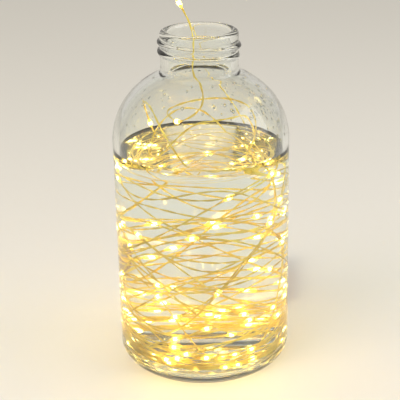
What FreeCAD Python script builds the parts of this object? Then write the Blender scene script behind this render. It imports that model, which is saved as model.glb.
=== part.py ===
# Cork bottle light: a clear wide-mouth bottle of water with a string of LED drops wound in it.
# The string's lead rises through the open mouth, arches over the back and comes down to its battery
# holder, which is shaped like a cork stopper and lies on the table close behind the bottle.
# Origin: centre of the bottle's base, on the table. +Z is up, and the bottle's front faces -Y.
import FreeCAD, Part
import math
import os
import Sketcher

App = FreeCAD
V = App.Vector
doc = App.newDocument("cork_bottle_light")

# Driving sizes, in millimetres, degrees and counts
SIZES = [
    ("bottle_radius", 40.25, "outside of the straight body"),
    ("glass_wall", 2.7, "body and shoulder"),
    ("base_glass", 4.6, "table to the inside of the base"),
    ("pushup_height", 1.6, "hollow under the base, at its centre"),
    ("rest_ring_width", 4.0, "flat ring that the bottle stands on"),
    ("heel_radius", 9.5, "outside rounding of the heel"),
    ("inner_heel_radius", 7.4, "inside rounding of the heel"),
    ("body_height", 108.5, "table to the start of the shoulder"),
    ("shoulder_radius", 32.0, "lower arc of the dome"),
    ("shoulder_turn", 45.0, "angle that the lower arc turns through"),
    ("crown_turn", 66.1, "angle at which the upper arc of the dome meets the neck's foot"),
    ("neck_radius", 17.55, "outside of the neck, under the thread"),
    ("neck_wall", 3.45, "neck, outside to bore"),
    ("neck_height", 19.2, "top of the dome to the rim"),
    ("neck_foot", 1.4, "width of the sloped foot between dome and neck"),
    ("foot_rise", 2.0, "height of the sloped foot between dome and neck"),
    ("lip_round", 1.1, "bevelled rounding of the rim"),
    ("water_drop", 3.5, "start of the shoulder down to the water's surface"),
    ("water_gap", 0.1, "water to glass"),
    ("meniscus_rise", 1.2, "climb of the water's edge"),
    ("meniscus_reach", 3.0, "width of the climbing edge"),
    ("cord_diameter", 0.9, "twin wire, across both strands"),
    ("drop_radius", 1.4, "resin drop at its middle"),
    ("drop_waist", 2.4, "length of the drop's full middle"),
    ("drop_length", 6.0, "resin drop from tip to tip"),
    ("drop_tip_radius", 0.6, "resin drop where the wire leaves it"),
    ("drop_spacing", 100.0, "along the wire, drop to drop"),
    ("drop_glass_gap", 0.35, "nearest that a drop comes to the glass"),
    ("first_drop", 6.0, "free end to the first drop"),
    ("lead_drop_low", 6.0, "end of the coil to the lead's first drop"),
    ("lead_drop_high", 70.0, "end of the coil to the lead's second drop"),
    ("lead_first_run", 9.0, "straight start of the lead"),
    ("lead_last_run", 6.5, "straight end of the lead, before the cork"),
    ("chip_length", 1.6, "LED chip along the wire"),
    ("chip_width", 0.8, "LED chip across the wire"),
    ("layer_step", 3.4, "outer loops to inner loops"),
    ("outer_loops", 5, "turns of the layer next to the glass"),
    ("inner_loops", 5, "turns of the layer inside it"),
    ("wind_low", 8.0, "lowest loop above the table"),
    ("wind_drop", 7.0, "water's surface down to the start of the outer layer"),
    ("wind_rise", 15.5, "water's surface up to the end of the inner layer"),
    ("outer_swing", 7.0, "rise and fall of the highest outer loop"),
    ("inner_swing", 8.5, "rise and fall of the highest inner loop"),
    ("eye_radius", 15.0, "last loop, under the neck"),
    ("sleeve_radius", 0.8, "sealed sleeve on the free end"),
    ("sleeve_length", 5.0, "sealed sleeve on the free end"),
    ("cork_wide_radius", 11.0, "end with the switch"),
    ("cork_narrow_radius", 9.0, "end with the lead"),
    ("cork_edge", 0.7, "bevel of the cork's edges"),
    ("cork_x", 34.0, "bottle's axis to the cork, sideways"),
    ("cork_y", 46.0, "bottle's axis to the cork's narrow end"),
    ("cap_thickness", 7.0, "end cap, outside the shell"),
    ("cap_seam", 0.15, "gap between shell and cap"),
    ("shell_floor", 4.0, "narrow end of the shell"),
    ("shell_bore_radius", 7.5, "bore that takes the carrier"),
    ("grommet_hole_radius", 1.6, "hole through the shell's floor"),
    ("grommet_length", 5.0, "tapered strain relief outside the shell"),
    ("grommet_flange_radius", 3.0, "strain relief where it meets the shell"),
    ("grommet_tip_radius", 0.95, "strain relief at its tip"),
    ("grommet_neck_radius", 1.9, "strain relief where it joins its flange"),
    ("grommet_flange", 0.8, "thickness of the strain relief's flange"),
    ("fit_clearance", 0.05, "parts that are pressed or glued together"),
    ("crimp_radius", 1.7, "collar that stops the lead"),
    ("crimp_length", 1.4, "collar that stops the lead"),
    ("block_thickness", 2.4, "contact block"),
    ("blade_thickness", 0.3, "contact blade"),
    ("blade_width", 2.0, "contact blade"),
    ("carrier_gap", 4.8, "contact block to the carrier, room for the lead's ends"),
    ("blade_overlap", 4.2, "contact blade beside the carrier"),
    ("slide_clearance", 0.2, "cap spigot in the bore"),
    ("carrier_radius", 7.2, "outside of the trough"),
    ("carrier_pocket_radius", 5.95, "inside of the trough"),
    ("carrier_flat", 6.5, "axis to the flats that hold the strips"),
    ("trough_lip", 1.5, "trough's edges past the middle of the cells"),
    ("carrier_end_wall", 2.0, "wall at the inner end"),
    ("carrier_flange", 2.0, "flange under the cap"),
    ("cell_radius", 5.8, "button cell"),
    ("cell_thickness", 5.4, "button cell"),
    ("cell_gap", 0.05, "between stacked cells"),
    ("cell_edge", 0.5, "bevel of the cell's case"),
    ("cell_lid_radius", 4.4, "raised negative lid of the cell"),
    ("cell_lid_height", 0.5, "raised negative lid of the cell"),
    ("plate_radius", 4.2, "positive contact plate"),
    ("plate_thickness", 0.3, "positive contact plate"),
    ("spring_height", 2.6, "negative spring, pressed"),
    ("spring_wide_radius", 4.0, "negative spring at its foot"),
    ("spring_tip_radius", 1.8, "negative spring at its tip"),
    ("spring_wire", 0.45, "negative spring's wire"),
    ("spring_turns", 2.0, "negative spring"),
    ("strip_thickness", 0.25, "contact strip on the carrier"),
    ("strip_width", 2.4, "contact strip on the carrier"),
    ("contact_gap", 0.12, "blade to strip"),
    ("spigot_length", 5.0, "cap inside the shell"),
    ("seal_wire_radius", 0.45, "section of the seal ring"),
    ("seal_squeeze_gap", 0.1, "seal ring to bore"),
    ("seal_groove_width", 1.3, "groove on the spigot"),
    ("screw_radius", 0.55, "shank of a carrier screw"),
    ("screw_head_radius", 1.0, "head of a carrier screw"),
    ("screw_head_height", 0.8, "head of a carrier screw"),
    ("screw_length", 3.6, "shank of a carrier screw"),
    ("screw_circle", 5.0, "axis to each screw"),
    ("switch_length", 8.6, "slide switch body"),
    ("switch_width", 3.6, "slide switch body"),
    ("switch_height", 3.4, "slide switch body"),
    ("cap_skin", 2.0, "end face over the switch"),
    ("knob_length", 2.2, "knob along its travel"),
    ("knob_width", 1.6, "knob across its travel"),
    ("knob_rise", 1.2, "knob above the end face"),
    ("knob_travel", 2.0, "off to on"),
    ("knob_clearance", 0.2, "knob to its slot, each side"),
    ("finger_dish_radius", 6.2, "shallow dish round the knob"),
    ("finger_dish_depth", 0.6, "shallow dish round the knob, and its slope"),
    ("pin_width", 0.5, "square switch pin"),
    ("pin_pitch", 2.5, "switch pins, centre to centre"),
    ("pin_length", 3.0, "switch pin"),
    ("board_length", 8.2, "switch board"),
    ("board_width", 3.3, "switch board"),
    ("board_drop", 1.8, "switch to the top of its board"),
    ("board_thickness", 0.8, "switch board"),
    ("resistor_length", 1.6, "limiting resistor"),
    ("resistor_width", 1.2, "limiting resistor"),
    ("resistor_height", 0.5, "limiting resistor"),
    ("overrun", 1.0, "how far a cut runs past its piece"),
]

FULL_TURN = 360

sheet = doc.addObject("Spreadsheet::Sheet", "Sizes")
for row, (alias, value, note) in enumerate(SIZES, 1):
    sheet.set("A" + str(row), alias)
    sheet.set("B" + str(row), str(value))
    sheet.set("C" + str(row), note)
    sheet.setAlias("B" + str(row), alias)
doc.recompute()


class Sheet(dict):
    """Turns {name} in an expression into the driving size of that name."""

    def __missing__(self, name):
        return "Sizes." + name


def tied(text):
    return text.format_map(Sheet())


def size(text):
    """The value of an expression in driving sizes, such as "{bottle_radius} - {glass_wall}"."""
    value = sheet.evalExpression(tied(text))
    return float(getattr(value, "Value", value))


def origin_plane(body, role):
    return next(f for f in body.Origin.OriginFeatures if f.Role == role)


def new_body(label):
    body = doc.addObject("PartDesign::Body", label)
    body.Label = label
    return body


def new_sketch(body, label, role, place=("0", "0", "0")):
    """The plane of an outline: one of the body's own, moved by the three expressions."""
    sketch = body.newObject("Sketcher::SketchObject", label)
    sketch.AttachmentSupport = [(origin_plane(body, role), "")]
    sketch.MapMode = "FlatFace"
    for axis, text in zip("xyz", place):
        if text != "0":
            sketch.setExpression("AttachmentOffset.Base." + axis, tied(text))
    return sketch


def hold(sketch, index, end, axis, text):
    """Ties one coordinate of a corner to an expression, or to the axis when it is zero."""
    if text == "0":
        line = -2 if axis == "X" else -1
        sketch.addConstraint(Sketcher.Constraint("PointOnObject", index, end, line))
        return
    number = sketch.addConstraint(Sketcher.Constraint("Distance" + axis, -1, 1, index, end, size(text)))
    sketch.setExpression("Constraints[" + str(number) + "]", tied(text))


def outline(sketch, corners):
    """A closed outline. Each corner is (x, y) or (x, y, radius), where the side that follows it is an
    arc of that radius: positive bulges to the right of the way round, negative to the left."""
    points = [V(size(c[0]), size(c[1]), 0) for c in corners]
    count = len(corners)
    for i, corner in enumerate(corners):
        start, end = points[i], points[(i + 1) % count]
        if len(corner) == 2:
            sketch.addGeometry(Part.LineSegment(start, end), False)
            continue
        radius = size(corner[2])
        chord = end - start
        half = chord.Length / 2
        side = V(chord.y, -chord.x, 0).normalize() * (1 if radius > 0 else -1)
        sagitta = abs(radius) - math.sqrt(max(radius * radius - half * half, 0))
        middle = (start + end) * 0.5 + side * sagitta
        sketch.addGeometry(Part.ArcOfCircle(start, middle, end), False)
    ends = []
    for i in range(count):
        first, last = (1, 2)
        if len(corners[i]) == 3:
            begins = sketch.getPoint(i, 1)
            if (begins - points[i]).Length > (begins - points[(i + 1) % count]).Length:
                first, last = (2, 1)
        ends.append((first, last))
    for i in range(count):
        following = (i + 1) % count
        sketch.addConstraint(Sketcher.Constraint("Coincident", i, ends[i][1], following, ends[following][0]))
    for i, corner in enumerate(corners):
        hold(sketch, i, ends[i][0], "X", corner[0])
        hold(sketch, i, ends[i][0], "Y", corner[1])
        if len(corner) == 3:
            text = corner[2] if size(corner[2]) > 0 else "-(" + corner[2] + ")"
            number = sketch.addConstraint(Sketcher.Constraint("Radius", i, size(text)))
            sketch.setExpression("Constraints[" + str(number) + "]", tied(text))


def chorded(centre, radius, first, last, count):
    """Corners on an arc about a centre, from one angle to another in degrees, in equal chords."""
    corners = []
    for i in range(count + 1):
        share = str(i / count)
        angle = "((" + str(first) + " + (" + str(last) + " - (" + str(first) + ")) * " + share + ") * 1 deg)"
        corners.append((
            "(" + centre[0] + " + " + radius + " * cos(" + angle + "))",
            "(" + centre[1] + " + " + radius + " * sin(" + angle + "))",
        ))
    return corners


def revolve(body, label, corners):
    """Turns an outline in radius and height about the body's Z axis."""
    sketch = new_sketch(body, label + "_outline", "XZ_Plane")
    outline(sketch, corners)
    turned = body.newObject("PartDesign::Revolution", label)
    turned.Profile = sketch
    turned.ReferenceAxis = (sketch, ["V_Axis"])
    turned.Angle = FULL_TURN
    sketch.Visibility = False
    return turned


def groove(body, label, corners):
    """Cuts an outline in radius and height, turned about the body's Z axis."""
    sketch = new_sketch(body, label + "_outline", "XZ_Plane")
    outline(sketch, corners)
    cut = body.newObject("PartDesign::Groove", label)
    cut.Profile = sketch
    cut.ReferenceAxis = (sketch, ["V_Axis"])
    cut.Angle = FULL_TURN
    return cut


def block(body, label, low, high, cut=False):
    """Adds or cuts a box between two corners, given as three expressions each."""
    level = low[2] if not cut else high[2]
    sketch = new_sketch(body, label + "_outline", "XY_Plane", (low[0], low[1], level))
    width = "(" + high[0] + ") - (" + low[0] + ")"
    depth = "(" + high[1] + ") - (" + low[1] + ")"
    outline(sketch, [("0", "0"), (width, "0"), (width, depth), ("0", depth)])
    feature = body.newObject("PartDesign::Pocket" if cut else "PartDesign::Pad", label)
    feature.Profile = sketch
    feature.setExpression("Length", tied("(" + high[2] + ") - (" + low[2] + ")"))
    return feature


def rod(body, label, centre, radius, low, high, cut=False):
    """Adds or cuts a round rod along Z, centred on two expressions."""
    sketch = new_sketch(body, label + "_outline", "XY_Plane", (centre[0], centre[1], high if cut else low))
    sketch.addGeometry(Part.Circle(V(0, 0, 0), V(0, 0, 1), size(radius)), False)
    sketch.addConstraint(Sketcher.Constraint("Coincident", 0, 3, -1, 1))
    number = sketch.addConstraint(Sketcher.Constraint("Radius", 0, size(radius)))
    sketch.setExpression("Constraints[" + str(number) + "]", tied(radius))
    feature = body.newObject("PartDesign::Pocket" if cut else "PartDesign::Pad", label)
    feature.Profile = sketch
    feature.setExpression("Length", tied("(" + high + ") - (" + low + ")"))
    return feature


def taper(body, label, low, low_radius, high, high_radius, cut=False):
    """Adds or cuts a tapered round piece along Z between two rings."""
    rings = []
    for end, level, radius in (("low", low, low_radius), ("high", high, high_radius)):
        sketch = new_sketch(body, label + "_" + end, "XY_Plane", ("0", "0", level))
        sketch.addGeometry(Part.Circle(V(0, 0, 0), V(0, 0, 1), size(radius)), False)
        sketch.addConstraint(Sketcher.Constraint("Coincident", 0, 3, -1, 1))
        number = sketch.addConstraint(Sketcher.Constraint("Radius", 0, size(radius)))
        sketch.setExpression("Constraints[" + str(number) + "]", tied(radius))
        rings.append(sketch)
    feature = body.newObject("PartDesign::SubtractiveLoft" if cut else "PartDesign::AdditiveLoft", label)
    feature.Profile = rings[0]
    feature.Sections = [rings[1]]
    feature.Ruled = True
    return feature


# Bottle: one revolved wall, from the hollow under the base round the outside and back down the inside
INNER_RADIUS = "({bottle_radius} - {glass_wall})"
TURN = "({shoulder_turn} * 1 deg)"
SHOULDER_END = (
    "({bottle_radius} - {shoulder_radius} * (1 - cos(" + TURN + ")))",
    "({body_height} + {shoulder_radius} * sin(" + TURN + "))",
)
FOOT_RADIUS = "({neck_radius} + {neck_foot})"
MOUTH_RADIUS = "({neck_radius} - {neck_wall})"
# The upper arc of the dome is tangent to the lower one and ends at the neck's foot.
CROWN_TURN = "({crown_turn} * 1 deg)"
CROWN_RADIUS = "((" + SHOULDER_END[0] + " - " + FOOT_RADIUS + ") / (cos(" + TURN + ") - cos(" + CROWN_TURN + ")))"
CROWN_CENTRE = (
    "(" + SHOULDER_END[0] + " - " + CROWN_RADIUS + " * cos(" + TURN + "))",
    "(" + SHOULDER_END[1] + " - " + CROWN_RADIUS + " * sin(" + TURN + "))",
)
DOME_TOP = "(" + CROWN_CENTRE[1] + " + " + CROWN_RADIUS + " * sin(" + CROWN_TURN + "))"
RIM = "(" + DOME_TOP + " + {neck_height})"
HOLLOW_RADIUS = "({bottle_radius} - {heel_radius} - {rest_ring_width})"
INNER_HEEL_CENTRE = ("(" + INNER_RADIUS + " - {inner_heel_radius})", "({base_glass} + {inner_heel_radius})")
INNER_CROWN_RADIUS = "(" + CROWN_RADIUS + " - {glass_wall})"
INNER_SHOULDER_RADIUS = "({shoulder_radius} - {glass_wall})"
SHOULDER_CENTRE = ("({bottle_radius} - {shoulder_radius})", "{body_height}")
HEEL_CENTRE = ("({bottle_radius} - {heel_radius})", "{heel_radius}")
LIP_LEVEL = "(" + RIM + " - {lip_round})"
# The bore meets the dome's inside where the inner arc has come in to the mouth's radius.
INNER_CROWN_END = "acos((" + MOUTH_RADIUS + " - " + CROWN_CENTRE[0] + ") / " + INNER_CROWN_RADIUS + ")"
INNER_CROWN_TURN = size(INNER_CROWN_END)
HEEL_COUNT = 3
SHOULDER_COUNT = 4
CROWN_COUNT = 2
INNER_SHOULDER_COUNT = 3
bottle = new_body("glass_bottle")
revolve(bottle, "bottle_wall", [
    ("0", "{pushup_height}"),
    (HOLLOW_RADIUS, "0"),
    *chorded(HEEL_CENTRE, "{heel_radius}", -90, 0, HEEL_COUNT),
    *chorded(SHOULDER_CENTRE, "{shoulder_radius}", 0, "{shoulder_turn}", SHOULDER_COUNT),
    *chorded(CROWN_CENTRE, CROWN_RADIUS, "{shoulder_turn}", "{crown_turn}", CROWN_COUNT)[1:],
    ("{neck_radius}", DOME_TOP + " + {foot_rise}"),
    ("{neck_radius}", LIP_LEVEL),
    ("{neck_radius} - {lip_round}", RIM),
    (MOUTH_RADIUS + " + {lip_round}", RIM),
    (MOUTH_RADIUS, LIP_LEVEL),
    *chorded(CROWN_CENTRE, INNER_CROWN_RADIUS, INNER_CROWN_TURN, "{shoulder_turn}", CROWN_COUNT),
    *chorded(SHOULDER_CENTRE, INNER_SHOULDER_RADIUS, "{shoulder_turn}", 0, INNER_SHOULDER_COUNT)[1:],
    *chorded(INNER_HEEL_CENTRE, "{inner_heel_radius}", 0, -90, HEEL_COUNT),
    ("0", "{base_glass}"),
])

# Water: fills the inside to just under the shoulder, and climbs a little at the glass
WATER_RADIUS = "(" + INNER_RADIUS + " - {water_gap})"
WATER_LOW = "({base_glass} + {water_gap})"
WATER_LEVEL = "({body_height} - {water_drop})"
water = new_body("water_fill")
revolve(water, "water_body", [
    ("0", WATER_LOW),
    *chorded(INNER_HEEL_CENTRE, "({inner_heel_radius} - {water_gap})", -90, 0, HEEL_COUNT),
    (WATER_RADIUS, WATER_LEVEL + " + {meniscus_rise}"),
    (WATER_RADIUS + " - {meniscus_reach}", WATER_LEVEL),
    ("0", WATER_LEVEL),
])

# Light string: one twin-wire cord, drawn as a three-sided tube. It winds down next to the glass, turns in
# at the bottom, winds up inside its first layer, and its last loop draws in under the neck.
CORD_RADIUS = size("{cord_diameter}") / 2
CORD_SIDES = 3
START_ANGLE = math.radians(30)
OUTER_TILT_ANGLE = math.radians(75)
INNER_TILT_ANGLE = math.radians(215)
CLOSER_LOW_POWER = 1.6
OUTER_LOOPS = size("{outer_loops}")
INNER_LOOPS = size("{inner_loops}")
TURN_IN = 0.5
ALL_LOOPS = OUTER_LOOPS + TURN_IN + INNER_LOOPS
OUTER_WINDING = size(INNER_RADIUS + " - {drop_glass_gap} - {drop_radius}")
INNER_WINDING = OUTER_WINDING - size("{layer_step}")
DRAW_IN_SHARE = 0.84
WIND_HIGH = size(WATER_LEVEL + " - {wind_drop}")
WIND_TOP = size(WATER_LEVEL + " + {wind_rise}")


def eased(share):
    """From nought to one with level ends."""
    share = min(max(share, 0), 1)
    return (1 - math.cos(math.pi * share)) / 2


def nearest_winding(height):
    """Largest radius at which a drop still clears the glass, also where the heel curves in."""
    heel_radius = size(INNER_HEEL_CENTRE[0])
    reach = OUTER_WINDING - heel_radius
    below = min(max(size(INNER_HEEL_CENTRE[1]) - height, 0), reach)
    return heel_radius + math.sqrt(reach * reach - below * below)


def winding(turn):
    """Centre of the cord after so many turns."""
    low = size("{wind_low}")
    inner = (turn - OUTER_LOOPS - TURN_IN) / INNER_LOOPS
    if turn < OUTER_LOOPS:
        climb = (1 - turn / OUTER_LOOPS) ** CLOSER_LOW_POWER
        height = low + (WIND_HIGH - low) * climb
        tilt = size("{outer_swing}") * climb
        leaning = OUTER_TILT_ANGLE
        radius = nearest_winding(height)
    elif inner < 0:
        height = low
        tilt = 0
        leaning = INNER_TILT_ANGLE
        lowest = nearest_winding(low)
        radius = lowest + (INNER_WINDING - lowest) * eased((turn - OUTER_LOOPS) / TURN_IN)
    else:
        climb = inner ** CLOSER_LOW_POWER
        height = low + (WIND_TOP - low) * climb
        tilt = size("{inner_swing}") * climb
        leaning = INNER_TILT_ANGLE
        drawn = eased((inner - DRAW_IN_SHARE) / (1 - DRAW_IN_SHARE))
        radius = INNER_WINDING + (size("{eye_radius}") - INNER_WINDING) * drawn
        tilt = tilt * (1 - drawn)
    angle = START_ANGLE + 2 * math.pi * turn
    height = height + tilt * math.cos(angle - leaning)
    return V(radius * math.cos(angle), radius * math.sin(angle), height)


NUDGE = 0.001
SMALL = 1e-7
NEARLY_UPRIGHT = 0.1


def heading(turn):
    """Direction of the cord after so many turns."""
    ahead = winding(min(turn + NUDGE, ALL_LOOPS))
    behind = winding(max(turn - NUDGE, 0))
    return (ahead - behind).normalize()


def arc_leaving(start, along, end):
    """The arc that leaves a point along a direction and ends at another point."""
    chord = end - start
    unit = V(chord).normalize()
    across = along - unit * along.dot(unit)
    if across.Length < SMALL:
        return Part.LineSegment(start, end).toShape()
    turned = math.acos(max(-1, min(1, along.dot(unit))))
    middle = start + chord * 0.5 + across.normalize() * (chord.Length / 2 * math.tan(turned / 2))
    return Part.Arc(start, middle, end).toShape()


def biarc(start, along, end, arriving):
    """Two arcs that join two points with both directions kept."""
    chord = end - start
    both = along + arriving
    spread = 2 * (1 - along.dot(arriving))
    pull = chord.dot(both)
    if spread < SMALL:
        reach = chord.dot(chord) / (2 * pull)
    else:
        reach = (math.sqrt(pull * pull + spread * chord.dot(chord)) - pull) / spread
    joint = (start + end + (along - arriving) * reach) * 0.5
    first = arc_leaving(start, along, joint)
    last = arc_leaving(end, arriving * -1, joint)
    return [first, last]


def curve_edges(place, direction, first, last, steps):
    """Biarcs along a curve given by its place and direction."""
    edges = []
    marks = [first + (last - first) * i / steps for i in range(steps + 1)]
    for here, there in zip(marks[:-1], marks[1:]):
        edges += biarc(place(here), direction(here), place(there), direction(there))
    return edges


def ring_corners(centre, along, radius, sides):
    """Corners of a many-sided ring that stands square to a direction."""
    aside = along.cross(V(0, 0, 1))
    if aside.Length < NEARLY_UPRIGHT:
        aside = along.cross(V(1, 0, 0))
    aside.normalize()
    over = along.cross(aside).normalize()
    turns = [2 * math.pi * i / sides for i in range(sides)]
    return [centre + aside * (radius * math.cos(a)) + over * (radius * math.sin(a)) for a in turns]


def tube(edges, start, along, radius, sides):
    """A many-sided tube along a chain of edges."""
    corners = ring_corners(start, along, radius, sides)
    ring = Part.makePolygon(corners + corners[:1])
    spine = Part.Wire(Part.__sortEdges__(edges))
    solid = spine.makePipeShell([ring], True, False)
    if solid.Volume < 0:
        solid.reverse()
    section = sides / 2 * radius * radius * math.sin(2 * math.pi / sides)
    print("tube volume", round(solid.Volume, 1), "section x length", round(section * spine.Length, 1),
          "length", round(spine.Length, 1))
    return solid


def fixed_part(label, shape):
    feature = doc.addObject("Part::Feature", label)
    feature.Label = label
    feature.Shape = shape
    return feature


QUARTERS = 4
coil_start = winding(0)
coil_end = winding(ALL_LOOPS)
into_coil = heading(0)
out_of_coil = heading(ALL_LOOPS)
STRAIGHT_END = 2 * CORD_RADIUS
coil_tip = coil_start - into_coil * STRAIGHT_END
lead_start = coil_end + out_of_coil * STRAIGHT_END
coil_edges = (
    [Part.LineSegment(coil_tip, coil_start).toShape()]
    + curve_edges(winding, heading, 0, ALL_LOOPS, round(ALL_LOOPS * QUARTERS))
    + [Part.LineSegment(coil_end, lead_start).toShape()]
)
coil = fixed_part("light_string_coil", tube(coil_edges, coil_tip, into_coil, CORD_RADIUS, CORD_SIDES))


APART_TURNS = 0.4
POINTS_PER_TURN = 24


def least_gap(step):
    """Smallest clear gap between turns of the coil, measured on points."""
    count = int(ALL_LOOPS / step)
    points = [winding(i * step) for i in range(count + 1)]
    apart = round(APART_TURNS / step)
    nearest = min(
        (points[i] - points[j]).Length for i in range(count + 1) for j in range(i + apart, count + 1)
    )
    return nearest - 2 * CORD_RADIUS


print("least gap between turns", round(least_gap(1 / POINTS_PER_TURN), 2))

# Levels in the cork holder, from its narrow end up: floor, crimp, contact block, room for the lead's
# ends, carrier with spring, cells and plate, spigot, cap
CELLS = 3
BLOCK_LOW = "({shell_floor} + {crimp_length} + 2 * {fit_clearance})"
BLOCK_TOP = "(" + BLOCK_LOW + " + {block_thickness})"
CARRIER_LOW = "(" + BLOCK_TOP + " + {carrier_gap})"
SPRING_LOW = "(" + CARRIER_LOW + " + {carrier_end_wall})"
CELLS_LOW = "(" + SPRING_LOW + " + {spring_height} + {cell_gap})"
CELL_STEP = "({cell_thickness} + {cell_gap})"
FLANGE_LOW = "(" + CELLS_LOW + " + " + str(CELLS) + " * " + CELL_STEP + " + {plate_thickness})"
SPIGOT_LOW = "(" + FLANGE_LOW + " + {carrier_flange})"
CAP_LOW = "(" + SPIGOT_LOW + " + {spigot_length})"
CORK_LENGTH = "(" + CAP_LOW + " + {cap_thickness})"

# Cork holder: it lies on its side on the table. Its own axis runs from the narrow end to the wide end.
TAPER = math.atan(size("({cork_wide_radius} - {cork_narrow_radius}) / " + CORK_LENGTH))
cork_foot = V(size("{cork_x}"), size("{cork_y}"), size("{cork_narrow_radius}") * math.cos(TAPER))
cork_lies = App.Placement(cork_foot, App.Rotation(V(1, 0, 0), math.degrees(TAPER) - 90))
cork_axis = cork_lies.Rotation.multVec(V(0, 0, 1))


def on_cork_axis(height):
    return cork_lies.multVec(V(0, 0, height))


# Lead: from the last loop up through the mouth, over the back and down to the cork.
# The points are corners of the route; each is rounded by the largest arc that its runs allow.
lead_route = [
    lead_start,
    lead_start + out_of_coil * size("{lead_first_run}"),
    V(-2.5, -20.5, 125.0),
    V(1.5, -19.0, 129.5),
    V(0.8, -13.5, 135.5),
    V(-3.6, -4.5, 141.0),
    V(-2.3, 1.2, 149.5),
    V(-3.2, 4.0, 160.0),
    V(-9.6, 8.2, 170.5),
    V(-14.0, 17.5, 179.0),
    V(-15.0, 31.0, 179.5),
    V(-11.2, 41.5, 168.0),
    V(-4.6, 46.2, 152.0),
    V(4.0, 45.6, 134.0),
    V(16.0, 42.8, 116.0),
    V(26.0, 38.4, 98.0),
    V(32.4, 33.4, 77.0),
    V(36.4, 28.4, 55.0),
    V(38.4, 23.8, 36.0),
    V(39.0, 20.8, 21.0),
    V(38.6, 22.2, 12.0),
    V(36.8, 27.2, 8.7),
    on_cork_axis(size("-1 * {grommet_length} - {lead_last_run}")),
    on_cork_axis(size(BLOCK_LOW)),
]


CORNER_SHARE = 0.45


def rounded_route(points):
    """Straight runs joined by tangent arcs; prints each radius in cord diameters."""
    edges = []
    radii = []
    here = points[0]
    for before, corner, after in zip(points[:-2], points[1:-1], points[2:]):
        arriving = (corner - before).normalize()
        leaving = (after - corner).normalize()
        turned = math.acos(max(-1, min(1, arriving.dot(leaving))))
        setback = CORNER_SHARE * min((corner - before).Length, (after - corner).Length)
        radii.append(setback / math.tan(turned / 2) / (2 * CORD_RADIUS))
        begins = corner - arriving * setback
        ends = corner + leaving * setback
        if (begins - here).Length > SMALL:
            edges.append(Part.LineSegment(here, begins).toShape())
        edges.append(arc_leaving(begins, arriving, ends))
        here = ends
    edges.append(Part.LineSegment(here, points[-1]).toShape())
    print("lead radii in diameters", [round(r, 1) for r in radii])
    runs = [(b - a).Length for a, b in zip(points[:-1], points[1:])]
    print("lead runs", [round(r, 1) for r in runs])
    return edges


lead_edges = rounded_route(lead_route)
lead_heads = (lead_route[1] - lead_route[0]).normalize()
lead = fixed_part("light_string_lead", tube(lead_edges, lead_start, lead_heads, CORD_RADIUS, CORD_SIDES))
print("turn from coil to lead, degrees", round(math.degrees(lead_heads.getAngle(out_of_coil)), 1))


def many_sided(centre, along, stations, sides):
    """A closed flat-sided shape through many-sided rings: (distance along, radius) at each."""
    rings = [ring_corners(centre + along * reach, along, radius, sides) for reach, radius in stations]
    faces = [Part.Face(Part.makePolygon(ring + ring[:1])) for ring in (rings[0], rings[-1])]
    for ring, further in zip(rings[:-1], rings[1:]):
        for i in range(sides):
            j = (i + 1) % sides
            faces.append(Part.Face(Part.makePolygon([ring[i], ring[j], further[j], further[i], ring[i]])))
    solid = Part.Solid(Part.Shell(faces))
    if solid.Volume < 0:
        solid.reverse()
    return solid


# LED drops: tapered beads of clear resin on the cord, each round a small chip
DROP_STATIONS = [
    (-size("{drop_length}") / 2, size("{drop_tip_radius}")),
    (-size("{drop_waist}") / 2, size("{drop_radius}")),
    (size("{drop_waist}") / 2, size("{drop_radius}")),
    (size("{drop_length}") / 2, size("{drop_tip_radius}")),
]


DROP_SIDES = 6
CHIP_SIDES = 4


def chip(centre, along):
    half = size("{chip_length}") / 2
    corner = size("{chip_width}") / 2 * math.sqrt(2)
    return many_sided(centre, along, [(-half, corner), (half, corner)], CHIP_SIDES)


def place_along(edges, mark):
    """Place and direction at a distance along a chain of edges."""
    passed = 0
    for edge in Part.Wire(Part.__sortEdges__(edges)).OrderedEdges:
        if mark > passed + edge.Length:
            passed = passed + edge.Length
            continue
        turned_round = edge.Orientation == "Reversed"
        reach = mark - passed
        if turned_round:
            reach = edge.Length - reach
        at = edge.getParameterByLength(reach)
        along = V(edge.tangentAt(at)).normalize()
        return edge.valueAt(at), along * (-1 if turned_round else 1)
    raise RuntimeError("the cord is shorter than its drops need")


DROP_SPACING = size("{drop_spacing}")
FIRST_DROP = size("{first_drop}")
coil_length = sum(e.Length for e in coil_edges)
coil_drop_count = int((coil_length - FIRST_DROP) / DROP_SPACING) + 1
coil_marks = [FIRST_DROP + DROP_SPACING * i for i in range(coil_drop_count)]
coil_drops = [place_along(coil_edges, mark) for mark in coil_marks]
lead_drops = [place_along(lead_edges, size(mark)) for mark in ("{lead_drop_low}", "{lead_drop_high}")]
print("coil length", round(coil_length, 1), "drops", len(coil_drops), len(lead_drops))


def drops_part(label, places):
    beads = [many_sided(p, t, DROP_STATIONS, DROP_SIDES) for p, t in places]
    return fixed_part(label, Part.makeCompound(beads))


def chips_part(label, places):
    return fixed_part(label, Part.makeCompound([chip(p, t) for p, t in places]))


coil_beads = drops_part("led_drops_coil", coil_drops)
lead_beads = drops_part("led_drops_lead", lead_drops)
coil_chips = chips_part("led_chips_coil", coil_drops)
lead_chips = chips_part("led_chips_lead", lead_drops)

# End sleeve: the sealed sleeve on the string's free end
sleeve_stations = [
    (-size("{sleeve_length}"), CORD_RADIUS / 2),
    (-size("{sleeve_length}") + CORD_RADIUS, size("{sleeve_radius}")),
    (-CORD_RADIUS, size("{sleeve_radius}")),
    (0, CORD_RADIUS),
]
sleeve = fixed_part("string_end_sleeve", many_sided(coil_tip, into_coil, sleeve_stations, DROP_SIDES))

# Cork shell: a tapered sleeve with a blind bore, open at the wide end
def cork_radius(height):
    spread = "({cork_wide_radius} - {cork_narrow_radius})"
    return "({cork_narrow_radius} + " + spread + " * (" + height + ") / " + CORK_LENGTH + ")"


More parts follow.
